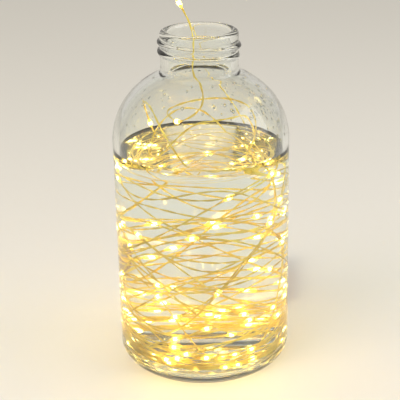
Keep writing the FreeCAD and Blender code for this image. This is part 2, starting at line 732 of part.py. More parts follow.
SHELL_TOP = "(" + CAP_LOW + " - {cap_seam})"
CORD_HOLE = "({cord_diameter} / 2 + {fit_clearance})"

shell = new_body("cork_shell")
taper(shell, "shell_edge", "0", "{cork_narrow_radius} - {cork_edge}", "{cork_edge}", cork_radius("{cork_edge}"))
taper(shell, "shell_wall", "{cork_edge}", cork_radius("{cork_edge}"), SHELL_TOP, cork_radius(SHELL_TOP))
rod(shell, "shell_bore", ("0", "0"), "{shell_bore_radius}", "{shell_floor}", SHELL_TOP, cut=True)
rod(shell, "lead_hole", ("0", "0"), "{grommet_hole_radius}", "0", "{shell_floor}", cut=True)

# Grommet: tapered strain relief, pressed through the shell's floor
grommet = new_body("lead_grommet")
revolve(grommet, "grommet_body", [
    (CORD_HOLE, "-1 * {grommet_length}"),
    ("{grommet_tip_radius}", "-1 * {grommet_length}"),
    ("{grommet_neck_radius}", "-1 * {grommet_flange}"),
    ("{grommet_flange_radius}", "-1 * {grommet_flange}"),
    ("{grommet_flange_radius}", "0"),
    ("{grommet_hole_radius} - {fit_clearance}", "0"),
    ("{grommet_hole_radius} - {fit_clearance}", "{shell_floor}"),
    (CORD_HOLE, "{shell_floor}"),
])

# Crimp: collar on the lead, inside the shell, that takes the pull
crimp = new_body("lead_crimp")
revolve(crimp, "crimp_collar", [
    (CORD_HOLE, "{shell_floor} + {fit_clearance}"),
    ("{crimp_radius}", "{shell_floor} + {fit_clearance}"),
    ("{crimp_radius}", "{shell_floor} + {fit_clearance} + {crimp_length}"),
    (CORD_HOLE, "{shell_floor} + {fit_clearance} + {crimp_length}"),
])

# Contact block: glued across the bore; its two blades reach up beside the carrier
STRIP_OUT = "({carrier_flat} + {strip_thickness})"
BLADE_IN = "(" + STRIP_OUT + " + {contact_gap})"
BLADE_OUT = "(" + BLADE_IN + " + {blade_thickness})"
contact_block = new_body("contact_block")
rod(contact_block, "block_disc", ("0", "0"), "{shell_bore_radius} - {fit_clearance}", BLOCK_LOW, BLOCK_TOP)
HALF_SLOT = "({blade_width} / 2 + {fit_clearance})"
block(contact_block, "blade_slot_right",
      (BLADE_IN + " - {fit_clearance}", "-1 * " + HALF_SLOT, BLOCK_LOW),
      ("{shell_bore_radius} + {overrun}", HALF_SLOT, BLOCK_TOP), cut=True)
block(contact_block, "blade_slot_left",
      ("-1 * {shell_bore_radius} - {overrun}", "-1 * " + HALF_SLOT, BLOCK_LOW),
      ("-1 * " + BLADE_IN + " + {fit_clearance}", HALF_SLOT, BLOCK_TOP), cut=True)


def box(label, low, high):
    """A box between two corners, given as three expressions each."""
    piece = doc.addObject("Part::Box", label)
    for axis, side, a, b in zip("xyz", ("Length", "Width", "Height"), low, high):
        piece.setExpression(side, tied("(" + b + ") - (" + a + ")"))
        piece.setExpression("Placement.Base." + axis, tied(a))
    return piece


def group(label, pieces):
    """Separate solids of one kind, kept as one part."""
    together = doc.addObject("Part::Compound", label)
    together.Label = label
    together.Links = pieces
    return together


HALF_BLADE = "({blade_width} / 2)"
contact_blades = group("contact_blades", [
    box("blade_right", (BLADE_IN, "-1 * " + HALF_BLADE, BLOCK_LOW),
        (BLADE_OUT, HALF_BLADE, CARRIER_LOW + " + {blade_overlap}")),
    box("blade_left", ("-1 * " + BLADE_OUT, "-1 * " + HALF_BLADE, BLOCK_LOW),
        ("-1 * " + BLADE_IN, HALF_BLADE, CARRIER_LOW + " + {blade_overlap}")),
])

# End cap: carries the switch and closes the shell; its spigot slides in the bore
HOUSING_TOP = "(" + CORK_LENGTH + " - {cap_skin})"
HOUSING_LOW = "(" + HOUSING_TOP + " - {switch_height})"
SLOT_HALF_LENGTH = "(({knob_length} + {knob_travel}) / 2 + {knob_clearance})"
SLOT_HALF_WIDTH = "({knob_width} / 2 + {knob_clearance})"
SPIGOT_RADIUS = "({shell_bore_radius} - {slide_clearance})"
GROOVE_MIDDLE = "((" + SPIGOT_LOW + " + " + CAP_LOW + ") / 2)"
SEAL_CENTRE = "({shell_bore_radius} - {seal_squeeze_gap} - {seal_wire_radius})"
GROOVE_RADIUS = "(" + SEAL_CENTRE + " - {seal_wire_radius})"
EDGE_LOW = "(" + CORK_LENGTH + " - {cork_edge})"
DISH_LOW = "(" + CORK_LENGTH + " - {finger_dish_depth})"
cap = new_body("end_cap")
rod(cap, "cap_spigot", ("0", "0"), SPIGOT_RADIUS, SPIGOT_LOW, CAP_LOW)
taper(cap, "cap_wall", CAP_LOW, cork_radius(CAP_LOW), EDGE_LOW, cork_radius(EDGE_LOW))
taper(cap, "cap_edge", EDGE_LOW, cork_radius(EDGE_LOW), CORK_LENGTH, cork_radius(EDGE_LOW) + " - {cork_edge}")
taper(cap, "finger_dish", DISH_LOW, "{finger_dish_radius} - {finger_dish_depth}",
      CORK_LENGTH, "{finger_dish_radius}", cut=True)
groove(cap, "seal_groove", [
    (GROOVE_RADIUS, GROOVE_MIDDLE + " - {seal_groove_width} / 2"),
    (SPIGOT_RADIUS + " + {overrun}", GROOVE_MIDDLE + " - {seal_groove_width} / 2"),
    (SPIGOT_RADIUS + " + {overrun}", GROOVE_MIDDLE + " + {seal_groove_width} / 2"),
    (GROOVE_RADIUS, GROOVE_MIDDLE + " + {seal_groove_width} / 2"),
])
SWITCH_HALF = ("({switch_length} / 2 + {fit_clearance})", "({switch_width} / 2 + {fit_clearance})")
block(cap, "switch_pocket",
      ("-1 * " + SWITCH_HALF[0], "-1 * " + SWITCH_HALF[1], SPIGOT_LOW),
      (SWITCH_HALF[0], SWITCH_HALF[1], HOUSING_TOP), cut=True)
block(cap, "knob_slot",
      ("-1 * " + SLOT_HALF_LENGTH, "-1 * " + SLOT_HALF_WIDTH, HOUSING_TOP),
      (SLOT_HALF_LENGTH, SLOT_HALF_WIDTH, DISH_LOW), cut=True)
SCREW_SPOTS = ("{screw_circle}", "-1 * {screw_circle}")
SHANK_TOP = "(" + SPIGOT_LOW + " - {carrier_flange} + {screw_head_height} + {screw_length})"
PILOT_TOP = "(" + SHANK_TOP + " + {fit_clearance})"
for number, spot in enumerate(SCREW_SPOTS, 1):
    rod(cap, "screw_pilot_" + str(number), ("0", spot), "{screw_radius} + {fit_clearance}",
        SPIGOT_LOW, PILOT_TOP, cut=True)

# Seal ring: in the spigot's groove, with its flats towards the groove and the bore
SEAL_COUNT = 4
SEAL_TURN = FULL_TURN / 2 / SEAL_COUNT
seal = new_body("seal_ring")
revolve(seal, "seal_turned", chorded(
    (SEAL_CENTRE, GROOVE_MIDDLE), "{seal_wire_radius}", SEAL_TURN, FULL_TURN - SEAL_TURN, SEAL_COUNT - 1))

# Battery carrier: a trough for three cells, screwed under the spigot
carrier = new_body("battery_carrier")
rod(carrier, "carrier_rod", ("0", "0"), "{carrier_radius}", CARRIER_LOW, SPIGOT_LOW)
rod(carrier, "cell_pocket", ("0", "0"), "{carrier_pocket_radius}", SPRING_LOW, FLANGE_LOW, cut=True)
block(carrier, "trough_mouth",
      ("-1 * {carrier_radius} - {overrun}", "-1 * {carrier_radius} - {overrun}", SPRING_LOW),
      ("{carrier_radius} + {overrun}", "-1 * {trough_lip}", FLANGE_LOW), cut=True)
block(carrier, "strip_flat_right",
      ("{carrier_flat}", "-1 * {carrier_radius}", CARRIER_LOW),
      ("{carrier_radius} + {overrun}", "{carrier_radius}", FLANGE_LOW), cut=True)
block(carrier, "strip_flat_left",
      ("-1 * {carrier_radius} - {overrun}", "-1 * {carrier_radius}", CARRIER_LOW),
      ("-1 * {carrier_flat}", "{carrier_radius}", FLANGE_LOW), cut=True)
for number, spot in enumerate(SCREW_SPOTS, 1):
    rod(carrier, "screw_hole_" + str(number), ("0", spot), "{screw_radius} + {fit_clearance}",
        FLANGE_LOW, SPIGOT_LOW, cut=True)
    rod(carrier, "head_seat_" + str(number), ("0", spot), "{screw_head_radius} + {fit_clearance}",
        FLANGE_LOW, FLANGE_LOW + " + {screw_head_height}", cut=True)

# Button cells: flat can with the smaller lid towards the spring
cells = []
for number in range(CELLS):
    low = "(" + CELLS_LOW + " + " + str(number) + " * " + CELL_STEP + ")"
    lid = "(" + low + " + {cell_lid_height})"
    top = "(" + low + " + {cell_thickness})"
    cell = new_body("button_cell_" + str(number + 1))
    revolve(cell, "cell_can_" + str(number + 1), [
        ("0", low),
        ("{cell_lid_radius}", low),
        ("{cell_lid_radius}", lid),
        ("{cell_radius}", lid),
        ("{cell_radius}", top + " - {cell_edge}"),
        ("{cell_radius} - {cell_edge}", top),
        ("0", top),
    ])
    cells.append(cell)

# Contacts on the carrier: plate under the flange, strips on the flats, spring at the inner end
plate = new_body("positive_plate")
rod(plate, "plate_disc", ("0", "0"), "{plate_radius}", FLANGE_LOW + " - {plate_thickness}", FLANGE_LOW)
HALF_STRIP = "({strip_width} / 2)"
strips = group("contact_strips", [
    box("strip_right", ("{carrier_flat}", "-1 * " + HALF_STRIP, CARRIER_LOW),
        (STRIP_OUT, HALF_STRIP, FLANGE_LOW)),
    box("strip_left", ("-1 * " + STRIP_OUT, "-1 * " + HALF_STRIP, CARRIER_LOW),
        ("-1 * {carrier_flat}", HALF_STRIP, FLANGE_LOW)),
])


def spring_coil(turn):
    """Centre of the spring's wire: a cone that narrows towards the cells."""
    share = turn / size("{spring_turns}")
    radius = size("{spring_wide_radius}") + share * size("{spring_tip_radius} - {spring_wide_radius}")
    height = size(SPRING_LOW + " + {spring_wire} / 2") + share * size("{spring_height} - {spring_wire}")
    return V(radius * math.cos(2 * math.pi * turn), radius * math.sin(2 * math.pi * turn), height)


def spring_heading(turn):
    ahead = spring_coil(turn + NUDGE)
    behind = spring_coil(turn - NUDGE)
    return (ahead - behind).normalize()


SPRING_SIDES = 3
spring_turns = size("{spring_turns}")
spring_edges = curve_edges(spring_coil, spring_heading, 0, spring_turns, round(spring_turns * QUARTERS))
spring = fixed_part("negative_spring", tube(
    spring_edges, spring_coil(0), spring_heading(0), size("{spring_wire}") / 2, SPRING_SIDES))

# Carrier screws: heads sunk in the flange, shanks in the spigot
SCREW_SIDES = 8
UP = V(0, 0, 1)


def screw(spot):
    head_height = size("{screw_head_height}")
    shank_end = head_height + size("{screw_length}")
    foot = V(0, size(spot), size(FLANGE_LOW))
    head = [(0, size("{screw_head_radius}")), (head_height, size("{screw_head_radius}"))]
    shank = [(head_height, size("{screw_radius}")), (shank_end, size("{screw_radius}"))]
    return many_sided(foot, UP, head, SCREW_SIDES).fuse(many_sided(foot, UP, shank, SCREW_SIDES))


screws = fixed_part("carrier_screws", Part.makeCompound([screw(spot) for spot in SCREW_SPOTS]))

# Slide switch: metal can in the cap's pocket, its pins through a small board below
housing = new_body("switch_housing")
block(housing, "switch_can",
      ("-1 * {switch_length} / 2", "-1 * {switch_width} / 2", HOUSING_LOW),
      ("{switch_length} / 2", "{switch_width} / 2", HOUSING_TOP))
block(housing, "slider_way",
      ("-1 * " + SLOT_HALF_LENGTH, "-1 * " + SLOT_HALF_WIDTH, HOUSING_LOW + " + {switch_height} / 2"),
      (SLOT_HALF_LENGTH, SLOT_HALF_WIDTH, HOUSING_TOP), cut=True)

# Knob: at rest at the off end of its slot
KNOB_REST = "(-1 * {knob_travel} / 2)"
knob = new_body("switch_knob")
block(knob, "knob_stem",
      (KNOB_REST + " - {knob_length} / 2", "-1 * {knob_width} / 2",
       HOUSING_LOW + " + {switch_height} / 2 + {knob_clearance}"),
      (KNOB_REST + " + {knob_length} / 2", "{knob_width} / 2",
       DISH_LOW + " + {knob_rise}"))

BOARD_TOP = "(" + HOUSING_LOW + " - {board_drop})"
BOARD_LOW = "(" + BOARD_TOP + " - {board_thickness})"
PIN_SPOTS = ("-1 * {pin_pitch}", "0", "{pin_pitch}")
board = new_body("switch_board")
block(board, "board_plate",
      ("-1 * {board_length} / 2", "-1 * {board_width} / 2", BOARD_LOW),
      ("{board_length} / 2", "{board_width} / 2", BOARD_TOP))
PIN_HALF = "({pin_width} / 2)"
PIN_ROOM = "({pin_width} / 2 + {fit_clearance})"
for number, spot in enumerate(PIN_SPOTS, 1):
    block(board, "pin_hole_" + str(number),
          (spot + " - " + PIN_ROOM, "-1 * " + PIN_ROOM, BOARD_LOW),
          (spot + " + " + PIN_ROOM, PIN_ROOM, BOARD_TOP), cut=True)
pins = group("switch_pins", [
    box("pin_" + str(number),
        (spot + " - " + PIN_HALF, "-1 * " + PIN_HALF, HOUSING_LOW + " - {pin_length}"),
        (spot + " + " + PIN_HALF, PIN_HALF, HOUSING_LOW))
    for number, spot in enumerate(PIN_SPOTS, 1)
])
resistor = new_body("limiting_resistor")
RESISTOR_LOW = "(" + BOARD_LOW + " - {resistor_height})"
block(resistor, "resistor_chip",
      ("{pin_pitch} / 2 - {resistor_length} / 2", "-1 * {resistor_width} / 2", RESISTOR_LOW),
      ("{pin_pitch} / 2 + {resistor_length} / 2", "{resistor_width} / 2", BOARD_LOW))

cork_parts = [
    shell, grommet, crimp, contact_block, contact_blades,
    cap, seal, carrier, screws, *cells, plate, strips, spring,
    board, resistor, housing, pins, knob,
]
for part in cork_parts:
    part.Placement = cork_lies
string_parts = [coil, lead, coil_beads, lead_beads, coil_chips, lead_chips, sleeve]
parts = [bottle, water, *string_parts, *cork_parts]

doc.recompute()
for thing in doc.Objects:
    if "Invalid" in thing.State or "Error" in thing.State:
        raise RuntimeError(thing.Label + " failed: " + str(thing.State))
for part in parts:
    if part.Shape.isNull() or not part.Shape.isValid():
        raise RuntimeError(part.Label + " has no valid shape")
os.makedirs("parts", exist_ok=True)
for part in parts:
    part.Shape.exportStep("parts/" + part.Label + ".step")
print(len(parts), "parts; cork axis", cork_axis, "foot", cork_foot)
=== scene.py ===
import bpy
import math
import random
from mathutils import Matrix, Vector


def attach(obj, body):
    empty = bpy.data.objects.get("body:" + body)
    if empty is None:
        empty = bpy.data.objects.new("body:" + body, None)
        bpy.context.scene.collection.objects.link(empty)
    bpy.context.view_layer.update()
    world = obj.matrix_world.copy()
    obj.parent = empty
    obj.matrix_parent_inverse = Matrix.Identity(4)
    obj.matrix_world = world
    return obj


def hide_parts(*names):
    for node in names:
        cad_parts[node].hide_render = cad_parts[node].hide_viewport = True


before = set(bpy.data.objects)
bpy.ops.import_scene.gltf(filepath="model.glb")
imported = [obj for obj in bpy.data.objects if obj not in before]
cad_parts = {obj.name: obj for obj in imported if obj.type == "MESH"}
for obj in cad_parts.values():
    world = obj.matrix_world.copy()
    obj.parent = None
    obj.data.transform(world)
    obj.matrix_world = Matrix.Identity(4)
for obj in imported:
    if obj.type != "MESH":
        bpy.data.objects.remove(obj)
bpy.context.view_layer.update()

# Studio: a pale floor that runs out of sight, pale surroundings and two large soft lamps. The
# camera stands half a metre in front of the bottle and looks down at it by 21 degrees.
MM = 0.001


def hex_colour(text):
    """An sRGB colour such as #c89b62 as linear values."""
    values = [int(text[i:i + 2], 16) / 255 for i in (1, 3, 5)]
    return [v / 12.92 if v <= 0.04045 else ((v + 0.055) / 1.055) ** 2.4 for v in values] + [1.0]


def add_node(tree, kind, settings=(), stops=(), **sockets):
    """Adds one shader node. A socket goes by its name, or by its number as _0, and is given a value
    or another node's output to link to. A colour ramp is given two stops, place and colour."""
    made = tree.nodes.new("ShaderNode" + kind)
    for name, value in dict(settings).items():
        setattr(made, name, value)
    for number, (position, colour) in enumerate(stops):
        made.color_ramp.elements[number].position = position
        made.color_ramp.elements[number].color = hex_colour(colour)
    for name, value in sockets.items():
        key = int(name[1:]) if name[0] == "_" else name.replace("_", " ")
        socket = made.inputs[key]
        if isinstance(value, bpy.types.NodeSocket):
            tree.links.new(value, socket)
        else:
            socket.default_value = value
    return made


def start_material(name):
    """An empty material and its tree."""
    material = bpy.data.materials.new(name)
    material.use_nodes = True
    material.node_tree.nodes.clear()
    return material, material.node_tree


def dress(piece, material):
    """Gives a piece one material all over."""
    piece.data.materials.clear()
    piece.data.materials.append(material)


def dress_node(node, material):
    """Gives a CAD node another material, in the slots that it has."""
    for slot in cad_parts[node].material_slots:
        slot.material = material


world = bpy.data.worlds.new("studio")
bpy.context.scene.world = world
world.use_nodes = True
sky = world.node_tree
sky.nodes.clear()
larger = {"operation": "MAXIMUM"}
surroundings = add_node(sky, "Background", Color=hex_colour("#f3f1ec"), Strength=0.68)
backdrop = add_node(sky, "Background", Color=hex_colour("#d3cfc7"), Strength=1.0)
seen = add_node(sky, "LightPath").outputs
seen_sharp = add_node(sky, "Math", larger, _0=seen["Is Camera Ray"], _1=seen["Is Glossy Ray"])
seen_through = add_node(sky, "Math", larger, _0=seen_sharp.outputs[0],
                        _1=seen["Is Transmission Ray"])
either = add_node(sky, "MixShader", Fac=seen_through.outputs[0], _1=surroundings.outputs[0],
                  _2=backdrop.outputs[0])
add_node(sky, "OutputWorld", Surface=either.outputs[0])

FLOOR_SIZE = 6.0
bpy.ops.mesh.primitive_plane_add(size=FLOOR_SIZE, location=(0, 0, 0))
floor = bpy.context.object
floor.name = "floor"
floor_paint, tree = start_material("pale_floor_paint")
paint = add_node(tree, "BsdfPrincipled", Base_Color=hex_colour("#e9e5dc"), Roughness=0.75)
add_node(tree, "OutputMaterial", Surface=paint.outputs[0])
dress(floor, floor_paint)


def soft_lamp(name, place, aim, size, watts, colour):
    """A square area lamp that looks at a point."""
    data = bpy.data.lights.new(name, "AREA")
    data.size = size
    data.energy = watts
    data.color = hex_colour(colour)[:3]
    lamp = bpy.data.objects.new(name, data)
    bpy.context.scene.collection.objects.link(lamp)
    lamp.location = place
    lamp.rotation_euler = (Vector(aim) - Vector(place)).to_track_quat("-Z", "Y").to_euler()
    return lamp


BOTTLE_MIDDLE = (0, 0, 0.08)
KEY_PLACE = (-0.55, -0.45, 0.75)
FILL_PLACE = (0.75, -0.15, 0.5)
key_lamp = soft_lamp("key_lamp", KEY_PLACE, BOTTLE_MIDDLE, size=0.5, watts=5.2, colour="#fff6ea")
fill_lamp = soft_lamp("fill_lamp", FILL_PLACE, BOTTLE_MIDDLE, size=0.6, watts=3, colour="#f4f7ff")
key_lamp.visible_glossy = False
key_lamp.visible_transmission = False
fill_lamp.visible_transmission = False

CAMERA_PLACE = (-0.98, -485.0, 263.8)
CAMERA_PITCH = 0.3657
CAMERA_ROLL = -0.020
CAMERA_LENS = 100.28
SENSOR_WIDTH = 36
NEAR_CLIP = 0.01
camera_data = bpy.data.cameras.new("camera")
camera_data.sensor_width = SENSOR_WIDTH
camera_data.lens = CAMERA_LENS
camera_data.clip_start = NEAR_CLIP
camera = bpy.data.objects.new("camera", camera_data)
bpy.context.scene.collection.objects.link(camera)
turned = Matrix.Rotation(math.pi / 2 - CAMERA_PITCH, 4, "X") @ Matrix.Rotation(CAMERA_ROLL, 4, "Z")
camera.matrix_world = Matrix.Translation(Vector(CAMERA_PLACE) * MM) @ turned
bpy.context.scene.camera = camera
bpy.context.scene.view_settings.view_transform = "Standard"

# Light string: two enamelled copper wires, loosely twisted, with an LED in a drop of resin every
# 100 mm. It is wound into the bottle in loose loops, and its lead rises through the mouth, arches
# over the back and ends in the cork holder. One spline holds the whole route.
CORK_LENGTH = 48.0
NARROW_RADIUS = 9.0
WIDE_RADIUS = 11.0
CORK_TAPER = math.atan((WIDE_RADIUS - NARROW_RADIUS) / CORK_LENGTH)
CORK_FOOT = Vector((34.0, 46.0, NARROW_RADIUS * math.cos(CORK_TAPER)))
CORK_AXIS = Vector((0, math.cos(CORK_TAPER), math.sin(CORK_TAPER)))


def on_cork_axis(height):
    """A place on the cork's axis, at a height above its narrow end."""
    return CORK_FOOT + CORK_AXIS * height


LEAD_ROUTE = [
    Vector(place) for place in (
        (-2.5, -20.5, 125.0), (1.5, -19.0, 129.5), (0.8, -13.5, 135.5), (-3.6, -4.5, 141.0),
        (-2.3, 1.2, 149.5), (-3.2, 4.0, 160.0), (-9.6, 8.2, 170.5), (-14.0, 17.5, 179.0),
        (-15.0, 31.0, 179.5), (-11.2, 41.5, 168.0), (-4.6, 46.2, 152.0), (4.0, 45.6, 134.0),
        (16.0, 42.8, 116.0), (26.0, 38.4, 98.0), (32.4, 33.4, 77.0), (36.4, 28.4, 55.0),
        (38.4, 23.8, 36.0), (39.0, 20.8, 21.0), (38.6, 22.2, 12.0), (36.8, 27.2, 8.7),
    )
] + [on_cork_axis(-11.5), on_cork_axis(5.5)]

TURNS_DOWN = 20
TURNS_UP = 32.5
TURNS = TURNS_DOWN + TURNS_UP
POINTS_PER_TURN = 14
START_ANGLE = math.radians(30)
START_HEIGHT = 98.0
END_HEIGHT = 120.5
LAST_LOOP_RADIUS = 15.0

# The glass that the loops lie next to: the inner radius of the body, and for the heel and the dome
# an arc each, as its centre's distance from the axis, its centre's height and its radius.
INNER_RADIUS = 37.55
INNER_HEEL = (30.15, 12.0, 7.4)
INNER_DOME = (8.25, 108.5, 29.3)
ROOM_TO_GLASS = 1.75

# The two legs of the winding. Thinning is the power by which the loops spread out towards the top.
# Inset from the glass, tilt and swing are in millimetres, and lean is the side that they tilt to.
DOWN_LEG = {"thinning": 2.3, "inset": 1.3, "inset_wander": 1.3, "tilt": 7.0, "swing": 34.0,
            "lean": math.radians(75), "lean_wander": 2.4}
UP_LEG = {"thinning": 2.6, "inset": 2.6, "inset_wander": 2.4, "tilt": 8.5, "swing": 38.0,
          "lean": math.radians(215), "lean_wander": 3.0}
LOWEST = 5.8
HIGHEST = 122.5
LIMIT_EASE = 2.0
FOOT_HEIGHT = LOWEST + 3.0
FOOT_SWING = 0.14
SWING_GROWTH = 3.2
BUNCH_STEP = 24.0
BUNCHED = 3.0
FOOT_WARP = 1.2
TOP_WARP = 3.4
WARP_GROWTH = 4.0
PULLED_IN = 1.9
PHASE_WANDER = 3
SETTLING_TURNS = 1.5
DRAWING_TURNS = 1.1
MOODS = 6
luck = random.Random(23)
loop_moods = [[luck.uniform(-1, 1) for _ in range(MOODS)] for _ in range(math.ceil(TURNS) + 2)]


def mood(turn, which):
    """A slow wander between -1 and 1 that takes one value per loop."""
    whole = int(turn)
    share = (1 - math.cos(math.pi * (turn - whole))) / 2
    return loop_moods[whole][which] * (1 - share) + loop_moods[whole + 1][which] * share


def eased(share):
    """Goes from 0 to 1 with a slow start and a slow end."""
    share = min(max(share, 0), 1)
    return (1 - math.cos(math.pi * share)) / 2


def kept_above(value, floor, ease):
    """Bends smoothly away from a lower limit."""
    return floor + ((value - floor) + math.hypot(value - floor, ease)) / 2


def nearest_glass(height):
    """Largest radius at which a drop clears the glass, at the heel, on the body and in the dome."""
    if INNER_HEEL[1] <= height <= INNER_DOME[1]:
        return INNER_RADIUS - ROOM_TO_GLASS
    centre_radius, centre_height, radius = INNER_HEEL if height < INNER_HEEL[1] else INNER_DOME
    reach = radius - ROOM_TO_GLASS
    return centre_radius + math.sqrt(max(reach ** 2 - (height - centre_height) ** 2, 0))


def winding(turn):
    """The cord's place after so many turns: down next to the glass, then up again further in. Each
    loop leans its own way and pulls in on one side, so the loops cross as loose ones do."""
    angle = START_ANGLE + 2 * math.pi * turn
    phase = PHASE_WANDER * mood(turn, 5)
    settled = eased(turn) * eased((TURNS - turn) / SETTLING_TURNS)
    if turn < TURNS_DOWN:
        leg, top, share = DOWN_LEG, START_HEIGHT, 1 - turn / TURNS_DOWN
        lean_wander = settled * leg["lean_wander"]
    else:
        leg, top, share = UP_LEG, END_HEIGHT, (turn - TURNS_DOWN) / TURNS_UP
        lean_wander = leg["lean_wander"]
    climb = share ** leg["thinning"]
    height = FOOT_HEIGHT + (top - FOOT_HEIGHT) * climb
    inset = leg["inset"] + leg["inset_wander"] * mood(turn, 0)
    swing = settled * leg["swing"] * mood(turn, 1) * eased(FOOT_SWING + climb * SWING_GROWTH)
    leaning = leg["lean"] + lean_wander * mood(turn, 2)
    height = height - settled * BUNCHED * math.sin(2 * math.pi * height / BUNCH_STEP)
    height = height + (leg["tilt"] * climb + swing) * math.cos(angle - leaning)
    warp = settled * (FOOT_WARP + TOP_WARP * eased(climb * WARP_GROWTH)) * mood(turn, 3)
    height = height + warp * math.cos(2 * angle + phase)
    height = height * (1 - settled) + settled * kept_above(height, LOWEST, LIMIT_EASE)
    height = height * (1 - settled) - settled * kept_above(-height, -HIGHEST, LIMIT_EASE)
    pulled = settled * PULLED_IN * (1 + mood(turn, 4)) * (1 - math.cos(angle - phase))
    radius = nearest_glass(height) - inset * settled - pulled
    drawn = eased((turn - TURNS + DRAWING_TURNS) / DRAWING_TURNS)
    radius = radius + (LAST_LOOP_RADIUS - radius) * drawn
    height = height + (END_HEIGHT - height) * drawn
    return Vector((radius * math.cos(angle), radius * math.sin(angle), height))


IN_SLEEVE = 0.9
RUN_OUT = 9.0
coil_points = [winding(i / POINTS_PER_TURN) for i in range(round(TURNS * POINTS_PER_TURN) + 1)]
into_coil = (coil_points[1] - coil_points[0]).normalized()
out_of_coil = (coil_points[-1] - coil_points[-2]).normalized()
coil_points = [coil_points[0] - into_coil * IN_SLEEVE] + coil_points
coil_points.append(coil_points[-1] + out_of_coil * RUN_OUT)
route_points = list(reversed(coil_points + LEAD_ROUTE))

route_curve = bpy.data.curves.new("string_route", "CURVE")
route_curve.dimensions = "3D"
route_curve.resolution_u = 6
spline = route_curve.splines.new("NURBS")
spline.points.add(len(route_points) - 1)
for point, place in zip(spline.points, route_points):
    point.co = (*(place * MM), 1.0)
spline.order_u = 3
spline.use_endpoint_u = True
route = bpy.data.objects.new("string_route", route_curve)
bpy.context.scene.collection.objects.link(route)
bpy.context.view_layer.update()
route_mesh = bpy.data.meshes.new_from_object(route)
path = [vertex.co.copy() for vertex in route_mesh.vertices]
bpy.data.objects.remove(route)

travelled = [0.0]
for before, after in zip(path[:-1], path[1:]):
    travelled.append(travelled[-1] + (after - before).length)
string_length = travelled[-1]

STRAND_RADIUS = 0.23
STRAND_OFFSET = 0.25
STRAND_SIDES = 5
TWIST_PITCH = 16.0


def heading(index):
    """The route's direction at one of its points."""
    return (path[min(index + 1, len(path) - 1)] - path[max(index - 1, 0)]).normalized()


def strand_mesh(name, phases):
    """Round strands that turn about the route, one for each phase, closed at both ends."""
    corners, faces = [], []
    aside = heading(0).orthogonal().normalized()
    rings = {phase: [] for phase in phases}
    for index, place in enumerate(path):
        along = heading(index)
        aside = (aside - along * aside.dot(along)).normalized()
        over = along.cross(aside)
        for phase in phases:
            turn = phase + 2 * math.pi * travelled[index] / (TWIST_PITCH * MM)
            centre = place + (aside * math.cos(turn) + over * math.sin(turn)) * STRAND_OFFSET * MM
            ring = []
            for side in range(STRAND_SIDES):
                round_it = 2 * math.pi * side / STRAND_SIDES
                ring.append(len(corners))
                outward = aside * math.cos(round_it) + over * math.sin(round_it)
                corners.append(centre + outward * STRAND_RADIUS * MM)
            rings[phase].append(ring)
    for phase in phases:
        for ring, further in zip(rings[phase][:-1], rings[phase][1:]):
            for i in range(STRAND_SIDES):
                j = (i + 1) % STRAND_SIDES
                faces.append((ring[i], ring[j], further[j], further[i]))
        faces.append(tuple(reversed(rings[phase][0])))
        faces.append(tuple(rings[phase][-1]))
    mesh = bpy.data.meshes.new(name)
    mesh.from_pydata(corners, [], faces)
    mesh.polygons.foreach_set("use_smooth", [True] * len(faces))
    mesh.update()
    piece = bpy.data.objects.new(name, mesh)
    bpy.context.scene.collection.objects.link(piece)
    return piece


light_string = strand_mesh("light_string_wires", (0.0, math.pi))

# Enamelled copper: drawn wire under clear enamel, so it is smooth and golden, a little darker in
# patches about a centimetre long, where the enamel is thicker.
enamelled_copper, tree = start_material("enamelled_copper")
where = add_node(tree, "TexCoord").outputs["Object"]
patches = add_node(tree, "TexNoise", Vector=where, Scale=1 / (11.11 * MM), Detail=2.0)
shades = add_node(tree, "ValToRGB", stops=((0.35, "#e2c43c"), (0.65, "#fff07c")),
                  Fac=patches.outputs["Fac"])
wire = add_node(tree, "BsdfPrincipled", Base_Color=shades.outputs["Color"], Metallic=0.5,
                Roughness=0.34, Coat_Weight=0.4, Coat_Roughness=0.1)
add_node(tree, "OutputMaterial", Surface=wire.outputs[0])
dress(light_string, enamelled_copper)

# LED drops: beads of clear resin, drawn out to the wire at both ends, each round a small lit chip.
DROP_SPACING = 100.0
END_ROOM = 8.0
LEAD_DROPS = (Vector((-9.6, -13.3, 122.1)), Vector((-8.75, 8.0, 169.2)))


def nearest_mark(place):
    """The distance along the route at which it comes nearest to a place."""
    best = min(range(len(path)), key=lambda i: (path[i] - place * MM).length)
    return travelled[best]


def on_route(mark):
    """Place and direction at a distance along the route."""
    index = next(i for i, passed in enumerate(travelled) if passed >= mark)
    index = max(index, 1)
    share = (mark - travelled[index - 1]) / (travelled[index] - travelled[index - 1])
    return path[index - 1].lerp(path[index], share), (path[index] - path[index - 1]).normalized()


drop_marks = [nearest_mark(LEAD_DROPS[1])]
mark = nearest_mark(LEAD_DROPS[0])
while mark < string_length - END_ROOM * MM:
    drop_marks.append(mark)
    mark = mark + DROP_SPACING * MM


def turned_solid(name, stations, sides):
    """A turned piece along Z: a ring extruded and scaled from one (height, radius) to the next."""
    bpy.ops.object.select_all(action="DESELECT")
    height, radius = stations[0]
    bpy.ops.mesh.primitive_circle_add(vertices=sides, radius=radius * MM, fill_type="NGON",
                                      location=(0, 0, height * MM))
    solid = bpy.context.object
    solid.name = name
    bpy.ops.object.transform_apply(location=True, rotation=True, scale=True)
    bpy.ops.object.mode_set(mode="EDIT")
    bpy.ops.mesh.select_all(action="SELECT")
    for further, next_radius in stations[1:]:
        rise = (further - height) * MM
        bpy.ops.mesh.extrude_region_move(TRANSFORM_OT_translate={"value": (0, 0, rise)})
        share = next_radius / radius
        bpy.ops.transform.resize(value=(share, share, 1), center_override=(0, 0, further * MM))
        height, radius = further, next_radius
    bpy.ops.mesh.select_all(action="SELECT")
    bpy.ops.mesh.normals_make_consistent(inside=False)
    bpy.ops.object.mode_set(mode="OBJECT")
    bpy.ops.object.shade_smooth()
    return solid


